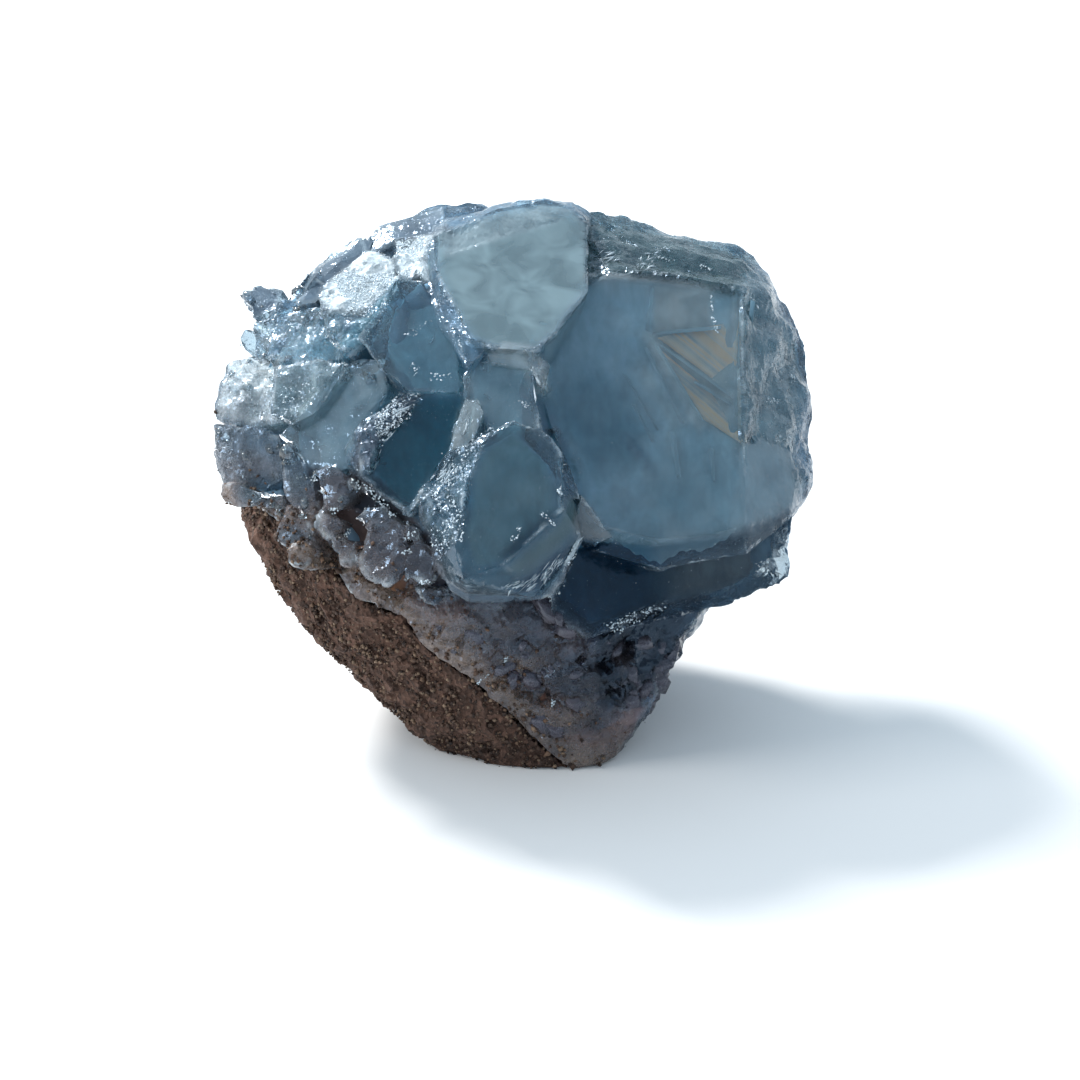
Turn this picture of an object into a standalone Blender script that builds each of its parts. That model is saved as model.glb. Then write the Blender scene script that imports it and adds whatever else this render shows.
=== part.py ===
"""A celestite cluster: blue crystals on a broken, massive root, with a crust of sandy matrix below.

Units are millimetres up to metres(), which turns them to Blender's metres; +Z is up.
The crystals are laid out as a mineral drawing: each face is an outline on the drawing plane, which
stands upright through the middle of the cluster, tipped back by VIEW_RISE, and it lies on a plane of
its own in front of or behind the drawing.
"""
import bpy
import bmesh
import math
import random
from mathutils import Matrix, Vector, noise

# Driving sizes of the drawing, in millimetres and degrees
VIEW_RISE = math.radians(24.0)      # how far above the horizon the cluster is drawn from
EYE = 200.0                         # distance from the eye to the drawing plane

# Where the middle of the drawing stands over the middle of the flat spot
STANDS_AT = Vector((0.41, -1.54, 20.9))

# The cluster's root, in the cluster's own axes: X right, Y away, Z up, from the drawing's middle
HEART = Vector((-1.0, 5.0, -9.0))   # crystals radiate from here
FOOT = 0.62                         # how far out from the heart a crystal's foot lies
OVERLAP = 1.04                      # crystals run a little into each other
FLOOR = -20.9                       # height of the flat spot

# Matrix crust: what lies inside a large bumpy ball, below and to the left of the crystals
BALL_MIDDLE = Vector((-36.0, -6.0, -49.0))
BALL_RADIUS = 49.3
GAP = 0.3                           # the crust stays this far from the celestite
BUMP_HEIGHT = 1.6
BUMP_SIZE = 6.0

# Lumpiness of the broken root, and the number that its chance draws start from
SEED = 11
ROOT_CELL = 2.1
ROOT_RELIEF = 0.7
ROOT_RELIEF_SIZE = 6.0

# Each crystal: faces, and each face is (distance, slope across, slope up) and its outline.
# A face stands distance + slope across * x + slope up * y in front of the drawing plane.
CRYSTALS = {
    "block": [
        ((9.2, -0.05, -0.45), [(5.4, 15.8), (7.5, 17.3), (15.0, 16.2), (18.3, 15.4), (18.2, 3.3), (18.7, -5.6),
                               (14.2, -5.8), (11.7, -6.8), (6.7, -5.4), (4.6, 1.7), (2.1, 7.5), (2.1, 11.2)]),
        ((2.3, -0.15, -0.35), [(5.4, 21.5), (7.4, 21.3), (13.4, 19.4), (18.1, 18.8), (19.3, 18.2), (21.3, 15.0),
                               (23.5, 11.6), (23.9, 8.8), (23.2, 1.6), (23.8, -0.2), (22.5, -2.7)]),
        ((4.5, 0.0, 0.0), [(6.0, -4.2), (11.5, -5.8), (18.5, -5.0), (22.2, -2.8)]),
        ((-13.0, 0.0, 0.0), [(6.5, 17.5), (16.5, 15.5), (20.5, 8.5), (20.5, 1.5), (8.0, -1.0)]),
    ],
    "pale": [
        ((18.5, 0.0, -0.95), [(-6.9, 20.2), (-6.8, 17.3), (-5.1, 14.0), (-4.0, 12.0), (-2.2, 11.3), (1.1, 11.0),
                              (2.9, 12.5), (4.2, 14.4), (5.4, 15.8), (5.4, 21.2), (4.3, 22.5), (1.8, 22.9),
                              (-1.8, 22.3), (-6.5, 20.6)]),
        ((16.8, 0.0, -0.95), [(-7.2, 20.3), (-8.1, 16.8), (-6.6, 13.0), (-5.8, 12.6), (-5.1, 11.2)]),
        ((-5.5, 0.0, 0.0), [(-6.9, 21.2), (-1.5, 22.8), (1.8, 23.1), (4.3, 22.7), (5.4, 21.6)]),
        ((-12.0, 0.0, 0.0), [(-5.5, 19.0), (4.5, 20.5), (4.5, 13.0), (-4.0, 13.0)]),
    ],
    "snowy": [
        ((22.2, 0.0, -1.4), [(-10.4, 19.9), (-7.2, 20.4), (-8.1, 16.8), (-10.0, 16.7)]),
        ((-8.0, 0.0, 0.0), [(-10.5, 21.4), (-4.3, 23.2), (-2.9, 22.6)]),
        ((-12.0, 0.0, 0.0), [(-9.5, 18.5), (-3.0, 20.5), (-6.0, 14.0)]),
    ],
    "notch": [
        ((-5.6, 0.0, 0.0), [(-10.2, 19.8), (-10.9, 18.7), (-12.6, 18.6)]),
        ((-8.0, 0.0, 0.0), [(-12.5, 19.6), (-11.6, 21.1), (-10.5, 21.5)]),
    ],
    "band": [
        ((16.1, 0.0, -1.1), [(-16.6, 15.2), (-16.0, 16.3), (-12.8, 18.9), (-10.9, 18.6), (-10.2, 16.7), (-13.6, 14.0),
                             (-15.8, 13.9)]),
        ((7.7, 0.0, -0.45), [(-10.4, 15.2), (-13.2, 11.6), (-14.1, 10.6), (-15.8, 11.5)]),
    ],
    "slope": [
        ((13.6, 0.0, -1.0), [(-12.8, 18.9), (-16.3, 16.1), (-17.0, 14.9), (-18.5, 14.7)]),
        ((-7.0, 0.0, 0.0), [(-18.8, 15.9), (-17.1, 17.8), (-15.6, 19.0), (-13.3, 20.0), (-12.4, 19.9)]),
    ],
    "knob": [
        ((7.0, 0.0, -0.8), [(-23.4, 15.4), (-21.8, 16.3), (-19.8, 15.8), (-20.5, 14.2), (-22.3, 13.5)]),
    ],
    "shoulder": [
        ((8.3, 0.0, -0.8), [(-20.9, 13.8), (-19.5, 15.2), (-18.4, 14.8), (-18.5, 13.0), (-19.6, 12.2), (-21.5, 12.4)]),
    ],
    "left_mid": [
        ((14.1, 0.45, -0.5), [(-22.0, 13.0), (-21.8, 10.3), (-17.0, 9.8), (-14.2, 10.4), (-15.2, 13.6), (-17.0, 14.4),
                              (-20.0, 13.2)]),
    ],
    "left_chip": [
        ((-4.0, 0.0, 0.0), [(-23.3, 11.8), (-22.9, 12.5), (-22.3, 12.4), (-22.3, 10.4), (-22.9, 10.9)]),
    ],
    "left_low": [
        ((15.2, 0.35, -1.0), [(-24.2, 9.5), (-22.6, 10.1), (-19.9, 10.2), (-20.3, 8.2), (-24.6, 8.0)]),
        ((12.7, 0.5, -0.2), [(-24.8, 7.6), (-20.3, 8.0), (-19.7, 5.0), (-22.0, 4.6), (-25.4, 5.2)]),
    ],
    "frosted": [
        ((14.4, 0.4, -0.5), [(-20.3, 9.2), (-16.3, 9.8), (-14.6, 9.2), (-17.2, 5.6), (-19.2, 4.6), (-20.6, 5.5)]),
    ],
    "grey": [
        ((13.4, 0.4, -0.5), [(-17.4, 6.6), (-14.8, 9.3), (-11.8, 9.9), (-11.0, 7.6), (-13.1, 4.7), (-14.5, 2.4),
                             (-14.5, 1.0), (-17.3, 0.9), (-18.5, 2.3), (-20.0, 3.8)]),
    ],
    "left_foot": [
        ((12.6, 0.5, 0.05), [(-25.3, 4.4), (-22.2, 4.2), (-20.2, 3.4), (-19.8, 0.2), (-22.4, -1.6), (-25.0, 0.2)]),
    ],
    "left_base": [
        ((12.6, 0.45, 0.1), [(-24.6, -0.6), (-22.2, -1.9), (-19.9, -1.2), (-19.4, -4.6), (-21.6, -6.6), (-24.2, -4.4)]),
    ],
    "left_inner": [
        ((12.4, 0.35, -0.2), [(-19.6, 2.9), (-18.3, 2.0), (-17.4, 0.6), (-17.2, -2.0), (-18.4, -2.9), (-19.6, -0.6)]),
    ],
    "left_toe": [
        ((12.2, 0.35, 0.0), [(-19.3, -2.4), (-17.9, -3.4), (-17.4, -4.4), (-18.2, -7.0), (-20.4, -7.4), (-20.6, -5.4)]),
    ],
    "mid_blue": [
        ((10.9, -0.1, -0.6), [(-10.3, 16.6), (-8.2, 16.7), (-6.7, 13.3), (-10.2, 10.9), (-12.9, 11.8), (-10.5, 15.5)]),
        ((12.3, 0.1, -0.55), [(-6.4, 12.9), (-5.6, 11.4), (-4.9, 8.1), (-5.3, 7.5), (-9.3, 7.6), (-11.5, 9.3),
                              (-10.2, 10.9)]),
    ],
    "dark": [
        ((10.9, 0.1, -0.4), [(-10.3, 5.9), (-7.9, 7.0), (-4.9, 7.2), (-4.7, 6.4), (-5.9, 2.3), (-8.2, -0.6),
                             (-9.3, -2.5), (-11.4, -1.3), (-13.1, 0.7), (-13.0, 3.5)]),
        ((6.6, 0.0, 0.0), [(-10.1, 7.1), (-13.2, 4.6), (-14.5, 2.5), (-14.4, 0.9)]),
    ],
    "slate": [
        ((12.8, 0.05, -0.55), [(-4.7, 8.8), (-2.9, 9.9), (0.9, 9.2), (1.3, 6.5), (1.4, 4.2), (-2.4, 4.1), (-3.3, 6.5),
                               (-4.6, 6.9)]),
    ],
    "bar": [
        ((13.7, 0.35, -0.4), [(-4.6, 6.7), (-3.4, 6.7), (-3.1, 5.6), (-3.8, 3.6), (-4.8, 2.8), (-5.9, 2.3),
                              (-5.3, 5.0)]),
    ],
    "collar": [
        ((10.8, 0.0, -0.3), [(-2.7, 10.4), (-1.3, 11.4), (0.8, 11.1), (2.4, 9.5), (0.9, 9.2), (-2.2, 9.8)]),
    ],
    "glassy": [
        ((13.9, 0.0, -0.6), [(-5.7, 12.8), (-3.7, 12.3), (-2.4, 11.3), (-4.4, 9.4), (-5.1, 10.7)]),
    ],
    "centre": [
        ((13.2, 0.0, -0.38), [(-3.3, 3.0), (-0.5, 4.7), (1.5, 3.9), (3.2, 2.2), (3.4, -2.4), (-1.4, -6.9), (-4.6, -8.0),
                              (-5.4, -5.0), (-4.6, -2.4), (-4.2, 0.2)]),
        ((11.2, 0.06, -0.15), [(-5.9, 2.2), (-7.9, -0.8), (-8.0, -3.6), (-7.0, -6.8), (-6.0, -8.6), (-4.1, -9.7),
                               (1.5, -9.7), (4.4, -6.2), (5.0, -5.0), (3.9, -2.0)]),
    ],
    "pink": [
        ((11.5, 0.0, -0.1), [(5.2, -1.3), (6.3, -2.9), (7.6, -4.7), (6.2, -5.5), (4.9, -4.9), (4.5, -3.6)]),
    ],
    "wedge": [
        ((11.2, 0.0, -0.3), [(3.5, 2.0), (4.1, 1.4), (4.8, -0.4), (5.0, -1.5), (3.4, -1.6), (3.2, -0.5)]),
    ],
    "shard": [
        ((10.7, -0.33, -0.1), [(3.0, -9.5), (5.2, -5.0), (11.5, -5.5), (18.6, -4.5), (22.4, -2.6), (22.3, -4.8),
                               (21.9, -8.0), (21.2, -8.5), (17.3, -10.3), (10.9, -10.9), (7.6, -12.3),
                               (5.9, -13.0), (2.8, -11.0)]),
    ],
    "smoke": [
        ((12.4, -0.3, 0.35), [(15.5, -10.0), (15.0, -11.0), (12.6, -14.5), (10.3, -17.4), (9.2, -18.0), (8.4, -19.2),
                              (6.6, -19.6), (6.2, -16.8), (6.5, -13.0), (10.9, -11.2)]),
    ],
    "lobe_1": [
        ((11.8, 0.25, -0.25), [(-17.3, 0.9), (-16.2, 1.2), (-14.7, 0.8), (-14.1, -0.2), (-14.2, -1.7), (-15.1, -2.5),
                               (-16.6, -2.1)]),
    ],
    "lobe_2": [
        ((11.6, 0.25, -0.25), [(-13.5, -5.2), (-13.5, -6.3), (-12.3, -8.3), (-11.3, -8.7), (-9.9, -7.7), (-9.5, -5.8),
                               (-9.5, -3.9), (-10.9, -2.9), (-12.4, -3.7)]),
    ],
    "lobe_3": [
        ((11.5, 0.25, -0.25), [(-9.5, -5.6), (-7.9, -5.0), (-7.0, -6.2), (-7.0, -8.4), (-7.9, -8.7), (-9.1, -8.3),
                               (-9.8, -7.7)]),
    ],
    "lobe_4": [
        ((12.3, 0.25, -0.25), [(-9.7, -3.4), (-8.3, -4.0), (-8.3, -5.0), (-9.3, -5.3), (-9.8, -4.7)]),
    ],
    "lobe_5": [
        ((10.4, 0.2, -0.2), [(-9.0, -8.8), (-8.3, -8.6), (-6.0, -9.0), (-5.8, -9.8), (-7.1, -10.6), (-8.1, -10.2)]),
    ],
    "lobe_6": [
        ((11.0, 0.25, -0.25), [(-16.6, -2.6), (-14.6, -3.2), (-14.8, -4.3), (-16.2, -4.7), (-17.5, -4.0)]),
    ],
    "lobe_7": [
        ((11.0, 0.25, -0.25), [(-15.6, -4.4), (-13.8, -5.0), (-13.9, -6.6), (-15.0, -6.9), (-16.0, -5.8)]),
    ],
    "lobe_8": [
        ((11.9, 0.25, -0.25), [(-13.4, -1.9), (-11.2, -2.0), (-10.8, -3.2), (-12.6, -4.2), (-14.2, -3.2)]),
    ],
}

# Small crystals stand on the cluster's general surface: its height in front of the drawing at its top, its fall
# upward, and how it bends away up and across from the top
SURFACE_TOP = (-2.0, -4.0)
SURFACE_HEIGHT = 11.0
SURFACE_FALL = 0.25
SURFACE_BEND_UP = 0.012
SURFACE_BEND_ACROSS = 0.02
STANDS_PROUD = 0.5

# A small crystal's shape, in shares of its half width: least and most of what chance sets
POINT_LEAN = 0.28                   # how far it leans off its way out from the heart
POINT_SIDE = 0.45                   # half of the broad face
POINT_THICKNESS = (0.55, 0.8)
POINT_SHOULDER = (0.1, 0.35)        # how far below the crystal's place its prism ends
POINT_ROOF = (0.5, 0.8)             # how far above that its ridge stands
POINT_RIDGE = (0.55, -0.5)          # where the ridge begins and ends
POINT_FOOT = 0.8                    # how much narrower its foot is

# Small crystals: where each one's middle shows on the drawing, its width and its length
POINTS = [
    (-22.6, -4.2, 2.8, 5.0), (-18.3, -6.3, 2.8, 4.5), (-16.9, 13.0, 2.4, 4.5), (-17.6, 16.4, 2.6, 4.5),
    (-12.6, 8.6, 1.8, 4.0), (-5.4, 8.6, 1.6, 4.0), (-12.9, -0.6, 1.6, 3.6), (-12.0, -1.5, 1.4, 3.4),
    (-16.2, 0.2, 1.8, 3.6), (1.9, 8.3, 1.5, 3.4),
]

# Small crystals behind the crest, in the cluster's own axes: place, width and length
BACK_POINTS = [
    ((-16.5, 13.5, 11.0), 4.2, 7.0), ((-11.0, 16.8, 12.6), 4.8, 8.0), ((-4.5, 19.0, 14.0), 5.4, 8.0),
    ((2.5, 19.2, 13.2), 5.0, 8.5), ((9.0, 17.6, 12.4), 5.6, 8.0), ((15.8, 14.8, 9.6), 4.8, 7.5),
    ((20.0, 10.5, 4.5), 4.4, 7.0), ((-21.2, 9.8, 6.0), 3.6, 6.0), ((-8.0, 18.2, 8.5), 3.8, 6.0),
    ((5.5, 18.8, 7.5), 4.2, 6.5), ((-15.0, 15.0, 6.5), 3.4, 6.0), ((12.5, 16.6, 5.5), 3.6, 6.0),
]

# The broken root: corners seen on the drawing, then corners behind it in the cluster's own axes
ROOT_SEEN = [
    (-16.8, -7.5, 5.0), (-17.9, -12.9, 0.5), (-13.9, -15.9, 0.5), (-9.5, -20.1, 1.0), (-5.8, -22.2, 1.5),
    (-2.4, -23.8, 2.0), (1.2, -24.6, 2.5), (5.3, -24.3, 2.0), (7.8, -23.6, 1.0), (9.8, -20.2, 0.0), (10.2, -17.4, 0.5),
    (13.4, -12.9, 2.5), (15.4, -10.3, 4.0), (-10.0, -10.5, 8.0), (-3.0, -9.0, 10.0), (3.0, -9.5, 9.5),
    (6.0, -12.5, 8.0), (0.0, -15.0, 7.0), (-7.0, -14.5, 6.5), (1.0, -20.0, 4.5),
    (-21.0, -8.4, -1.0), (-24.0, -3.2, -2.0), (-24.6, 2.0, -3.0), (-23.5, 6.0, -4.0),
    (-19.0, 8.0, -3.0), (-12.0, 12.0, -2.0), (0.0, 12.0, -1.0), (12.0, 12.0, -2.0), (19.0, 8.0, -5.0),
    (20.0, -2.0, -1.0), (18.0, -7.0, 1.0), (1.2, 6.5, 7.0),
]
ROOT_BEHIND = [
    (-6.5, -9.0, -22.0), (6.8, -11.8, -22.0), (8.5, -1.0, -22.0), (5.5, 7.5, -22.0), (-3.5, 8.5, -22.0),
    (-8.5, 2.0, -22.0), (20.0, 6.0, -6.0), (21.0, 9.0, 5.0), (16.0, 14.5, 10.5), (8.0, 17.5, 12.5),
    (-4.0, 18.5, 14.0), (-14.0, 14.5, 10.5), (-21.0, 9.0, 5.5), (-23.0, 4.0, -3.0), (-17.5, 8.0, -11.0),
    (-9.0, 13.0, -12.0), (3.0, 15.5, -11.0), (14.0, 11.5, -11.0), (15.0, 2.0, -14.5), (0.0, 19.0, 3.0),
]

# Finishes: colour, roughness
CELESTITE_FINISH = ((0.16, 0.30, 0.42), 0.15)
MATRIX_FINISH = ((0.21, 0.15, 0.10), 0.9)


def seen(across, up, toward):
    """The place that shows at across, up on the drawing and stands toward mm in front of it."""
    nearer = (EYE - toward) / EYE
    right = across * nearer
    rise = up * nearer
    away = rise * math.sin(VIEW_RISE) - toward * math.cos(VIEW_RISE)
    height = rise * math.cos(VIEW_RISE) + toward * math.sin(VIEW_RISE)
    return Vector((right, away, height))


def on_face(face, across, up):
    """The corner of a face that shows at across, up: the face is a true plane seen in perspective."""
    distance, slope_across, slope_up = face
    slope = slope_across * across + slope_up * up
    toward = (distance + slope) / (1.0 + slope / EYE)
    return seen(across, up, toward)


def surface_height(across, up):
    """How far the cluster's general surface stands in front of the drawing plane."""
    aside = across - SURFACE_TOP[0]
    rise = up - SURFACE_TOP[1]
    return SURFACE_HEIGHT - SURFACE_FALL * rise - SURFACE_BEND_UP * rise ** 2 - SURFACE_BEND_ACROSS * aside ** 2


def metres(point):
    return (Vector(point) + STANDS_AT) * 0.001


def clear_scene():
    for item in list(bpy.data.objects):
        bpy.data.objects.remove(item, do_unlink=True)


def new_collection(name):
    collection = bpy.data.collections.new(name)
    bpy.context.scene.collection.children.link(collection)
    return collection


def new_material(name, finish):
    colour, roughness = finish
    material = bpy.data.materials.new(name)
    material.use_nodes = True
    shader = material.node_tree.nodes["Principled BSDF"]
    shader.inputs["Base Color"].default_value = (*colour, 1.0)
    shader.inputs["Roughness"].default_value = roughness
    shader.inputs["Metallic"].default_value = 0.0
    return material


def new_object(name, bm, collection):
    mesh = bpy.data.meshes.new(name)
    bm.to_mesh(mesh)
    bm.free()
    item = bpy.data.objects.new(name, mesh)
    collection.objects.link(item)
    return item


def hull(name, corners, collection):
    """The convex solid around the corners."""
    bm = bmesh.new()
    for corner in corners:
        bm.verts.new(metres(corner))
    result = bmesh.ops.convex_hull(bm, input=bm.verts)
    inner = {part for part in result["geom_interior"] + result["geom_unused"] if isinstance(part, bmesh.types.BMVert)}
    bmesh.ops.delete(bm, geom=list(inner), context="VERTS")
    bmesh.ops.recalc_face_normals(bm, faces=bm.faces)
    return new_object(name, bm, collection)


def as_cutter(item):
    item.hide_render = True
    item.display_type = "WIRE"
    return item


def grown_crystal(name, faces, collection):
    """A crystal from its drawn faces, carried back towards the heart of the cluster."""
    corners = [on_face(face, across, up) for face, outline in faces for across, up in outline]
    middle = sum(corners, Vector()) / len(corners)
    corners = [middle + (corner - middle) * OVERLAP for corner in corners]
    feet = [HEART + (corner - HEART) * FOOT for corner in corners]
    return as_cutter(hull(name, corners + feet, collection))


def point_crystal(name, place, width, length, luck, collection):
    """A small tabular crystal: a six sided prism that ends in a roof, pointing out from the heart."""
    out = (place - HEART).normalized()
    lean = Vector((luck.uniform(-1, 1), luck.uniform(-1, 1), luck.uniform(-1, 1)))
    turn = (out + lean * POINT_LEAN).to_track_quat("Z", "X").to_matrix().to_4x4()
    turn = Matrix.Translation(place) @ turn @ Matrix.Rotation(luck.uniform(0, math.pi), 4, "Z")
    half = width / 2
    side = half * POINT_SIDE
    thick = half * luck.uniform(*POINT_THICKNESS)
    shoulder = half * luck.uniform(*POINT_SHOULDER)
    roof = half * luck.uniform(*POINT_ROOF)
    ring = [(half, 0), (side, thick), (-side, thick), (-half, 0), (-side, -thick), (side, -thick)]
    corners = [(x * POINT_FOOT, y * POINT_FOOT, -length) for x, y in ring]
    corners += [(x, y, -shoulder) for x, y in ring]
    corners += [(half * end, 0, roof) for end in POINT_RIDGE]
    return as_cutter(hull(name, [turn @ Vector(corner) for corner in corners], collection))


def broken_body(name, collection):
    """The lump that root and crust are cut from: a hull with an even skin and a lumpy relief."""
    corners = [seen(*corner) for corner in ROOT_SEEN] + [Vector(corner) for corner in ROOT_BEHIND]
    rough = hull(name + "_hull", corners, collection)
    skin = rough.modifiers.new("even skin", "REMESH")
    skin.mode = "VOXEL"
    skin.voxel_size = ROOT_CELL * 0.001
    evaluated = rough.evaluated_get(bpy.context.evaluated_depsgraph_get())
    bm = bmesh.new()
    bm.from_mesh(bpy.data.meshes.new_from_object(evaluated))
    bpy.data.objects.remove(rough, do_unlink=True)
    for vert in bm.verts:
        drift = noise.noise_vector(vert.co * 1000.0 / ROOT_RELIEF_SIZE)
        vert.co += drift * ROOT_RELIEF * 0.001
    bmesh.ops.triangulate(bm, faces=bm.faces)
    return new_object(name, bm, collection)


def crust_ball(name, grown, collection):
    """The bumpy ball that parts crust from celestite, grown mm larger than its own size."""
    bm = bmesh.new()
    bmesh.ops.create_icosphere(bm, subdivisions=5, radius=1.0)
    for vert in bm.verts:
        outward = vert.co.normalized()
        bump = noise.noise(outward * BALL_RADIUS / BUMP_SIZE) * BUMP_HEIGHT
        vert.co = metres(BALL_MIDDLE + outward * (BALL_RADIUS + bump + grown))
    return as_cutter(new_object(name, bm, collection))


def floor_block(collection):
    """Everything under the flat spot."""
    bm = bmesh.new()
    bmesh.ops.create_cube(bm, size=0.2)
    bmesh.ops.translate(bm, verts=bm.verts, vec=metres((0.0, 0.0, FLOOR)) - Vector((0.0, 0.0, 0.1)))
    return as_cutter(new_object("under_the_flat_spot", bm, collection))


def cut(item, operation, cutter):
    modifier = item.modifiers.new(operation.lower(), "BOOLEAN")
    modifier.operation = operation
    modifier.solver = "EXACT"
    if isinstance(cutter, bpy.types.Collection):
        modifier.operand_type = "COLLECTION"
        modifier.collection = cutter
    else:
        modifier.object = cutter
    return modifier


def build():
    clear_scene()
    parts = new_collection("celestite_cluster")
    cutters = new_collection("cutters")
    crystals = new_collection("crystals")
    luck = random.Random(SEED)
    noise.seed_set(SEED)

    for name, faces in CRYSTALS.items():
        grown_crystal("crystal_" + name, faces, crystals)
    for index, (across, up, width, length) in enumerate(POINTS):
        place = seen(across, up, surface_height(across, up) + STANDS_PROUD)
        point_crystal(f"point_{index + 1}", place, width, length, luck, crystals)
    for index, (place, width, length) in enumerate(BACK_POINTS):
        point_crystal(f"back_point_{index + 1}", Vector(place), width, length, luck, crystals)

    celestite = broken_body("celestite", parts)
    matrix = broken_body("matrix", parts)
    celestite.data.materials.append(new_material("celestite", CELESTITE_FINISH))
    matrix.data.materials.append(new_material("sandy_matrix", MATRIX_FINISH))

    under = floor_block(cutters)
    cut(celestite, "UNION", crystals)
    cut(celestite, "DIFFERENCE", crust_ball("celestite_side", GAP, cutters))
    cut(celestite, "DIFFERENCE", under)
    cut(matrix, "INTERSECT", crust_ball("crust_side", 0.0, cutters))
    cut(matrix, "DIFFERENCE", under)


build()
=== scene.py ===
"""Looks of a celestite cluster: see-through blue crystals over a cloudy core, with a sandy crust below.

Lengths are in millimetres in the cluster's own axes until in_frame() turns them to the frame's metres.
Places that the eye knows from one side only are given on a mineral drawing of the cluster: across and up,
in millimetres, on an upright plane through its middle, seen from EYE millimetres away and VIEW_RISE
above the horizon. drawn() gives the place of any point on that drawing.
"""
import itertools
import math
import bmesh
import bpy
import numpy as np
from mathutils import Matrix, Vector


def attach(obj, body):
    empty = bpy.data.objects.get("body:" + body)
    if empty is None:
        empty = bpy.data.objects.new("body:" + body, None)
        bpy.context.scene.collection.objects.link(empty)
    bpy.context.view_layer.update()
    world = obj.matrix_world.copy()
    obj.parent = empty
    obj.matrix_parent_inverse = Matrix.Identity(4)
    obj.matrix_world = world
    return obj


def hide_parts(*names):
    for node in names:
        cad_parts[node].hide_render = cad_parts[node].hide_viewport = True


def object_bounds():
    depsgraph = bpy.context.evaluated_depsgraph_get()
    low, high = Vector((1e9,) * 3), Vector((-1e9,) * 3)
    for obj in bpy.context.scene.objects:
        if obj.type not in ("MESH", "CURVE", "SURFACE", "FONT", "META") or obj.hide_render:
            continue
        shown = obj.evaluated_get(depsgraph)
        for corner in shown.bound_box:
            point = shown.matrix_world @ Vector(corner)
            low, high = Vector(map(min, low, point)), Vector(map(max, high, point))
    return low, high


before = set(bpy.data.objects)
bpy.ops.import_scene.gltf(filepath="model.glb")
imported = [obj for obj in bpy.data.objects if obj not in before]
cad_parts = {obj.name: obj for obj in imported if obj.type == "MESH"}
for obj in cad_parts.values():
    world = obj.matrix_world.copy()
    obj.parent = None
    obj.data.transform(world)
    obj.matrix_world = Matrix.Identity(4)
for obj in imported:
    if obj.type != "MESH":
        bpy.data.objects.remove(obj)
cad_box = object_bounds()

# The drawing and the camera, which stands at the drawing's eye
VIEW_RISE = math.radians(24.0)
EYE = 200.0
DRAWING_WIDTH = 90.0                          # the picture shows this many millimetres of the drawing plane
DRAWING_MIDDLE = (20.0 / 12.0, 5.0)           # how far the picture's middle is right of it and below it
STANDS_AT = np.array((0.41, -1.54, 20.9))     # the drawing's middle in the frame
TOWARD_EYE = np.array((0.0, -math.cos(VIEW_RISE), math.sin(VIEW_RISE)))
UP_DRAWING = np.array((0.0, math.sin(VIEW_RISE), math.cos(VIEW_RISE)))

# Longest edges of the skin where it is plain and where it has detail, and of the crust, and the core's cell
PLAIN_EDGE = 1.0
FINE_EDGE = 0.44
CRUST_EDGE = 0.5
CORE_CELL = 0.6
SEED = 5
FAR_OFF = 9.0                                 # stands for every distance that is too long to matter

# The core lies under the faces by up to CORE_DEPTH, less where a face's reach is nearer to 1. After rounds of
# softening it is drawn in by steps, less where softening has moved it by THIN already, and painted brighter:
# the gain is painted light, for the light that the skin keeps from it.
CORE_DEPTH = 14.0
DRAWING_STEPS = 4
CORE_SOFTENING = 20
THIN = 0.35
CORE_LIGHT_GAIN = 1.9

# Lights: place and width in metres, and watts. The sky's strength runs from dim to bright along a direction.
KEY_LIGHT = ((-0.40, 0.45, 0.57), 0.18, 10.0)
SIDE_LIGHT = ((-0.7, -0.15, 0.5), 0.25, 3.0)
LIGHT_AIM = (0.0, 0.0, 0.02)
LIGHT_COLOUR = (1.0, 0.98, 0.95)
SKY_COLOUR = (0.74, 0.88, 1.0, 1.0)
SKY_BRIGHT_WAY = (0.0, 0.72, 0.69)
SKY_DIM = 0.2
SKY_BRIGHT = 1.25
FLOOR_WIDTH = 6.0
SENSOR = 36.0

# The crystals radiate from the heart, and the crust lies inside a large ball
HEART = np.array((-1.0, 5.0, -9.0))
BALL_MIDDLE = np.array((-36.0, -6.0, -49.0))
BALL_RADIUS = 49.3

# Celestite, a strontium sulphate: its refractive index, and the red, green and blue let through by a depth
CELESTITE_IOR = 1.62
CLEAR_DEPTH = 0.010
LETS_THROUGH = (0.52, 0.70, 0.80)

# Tones of the stone. A face that looks up or is milky needs a darker one than it shows.
SNOW = "#c4dae4"     # crushed crystal, nearly white
FROST = "#909ea4"    # broken skin that scatters the light
SKY = "#748e9a"      # the clear pale blue of the largest faces
CLEAR = "#5a7682"    # the same blue, seen into deeper
AZURE = "#508ca4"    # thin and lit from behind
DULL = "#687a80"     # clear over a brownish veil
DIM = "#4a636c"      # clear over a grey core
MIST = "#38545c"     # pale milk under a face that looks up
DEEP = "#2a4a5a"     # dark blue, low on the crystals
TEAL = "#245460"     # the deep window at the middle
PINE = "#1e383c"     # greenish dark, under a bright edge
NIGHT = "#0c3246"    # the darkest clear blue
INK = "#0a1927"      # milk under the crest's lit faces
DUSK = "#50585c"     # grey with a touch of rose
STONE = "#252930"    # grey massive mineral
# The next tone, nearly black, is partly painted shade: it darkens the faces low on the cluster
SMOKE_AND_SHADE = "#10131a"    # smoky, nearly black
RUST = "#341e1c"     # stained by iron

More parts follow.
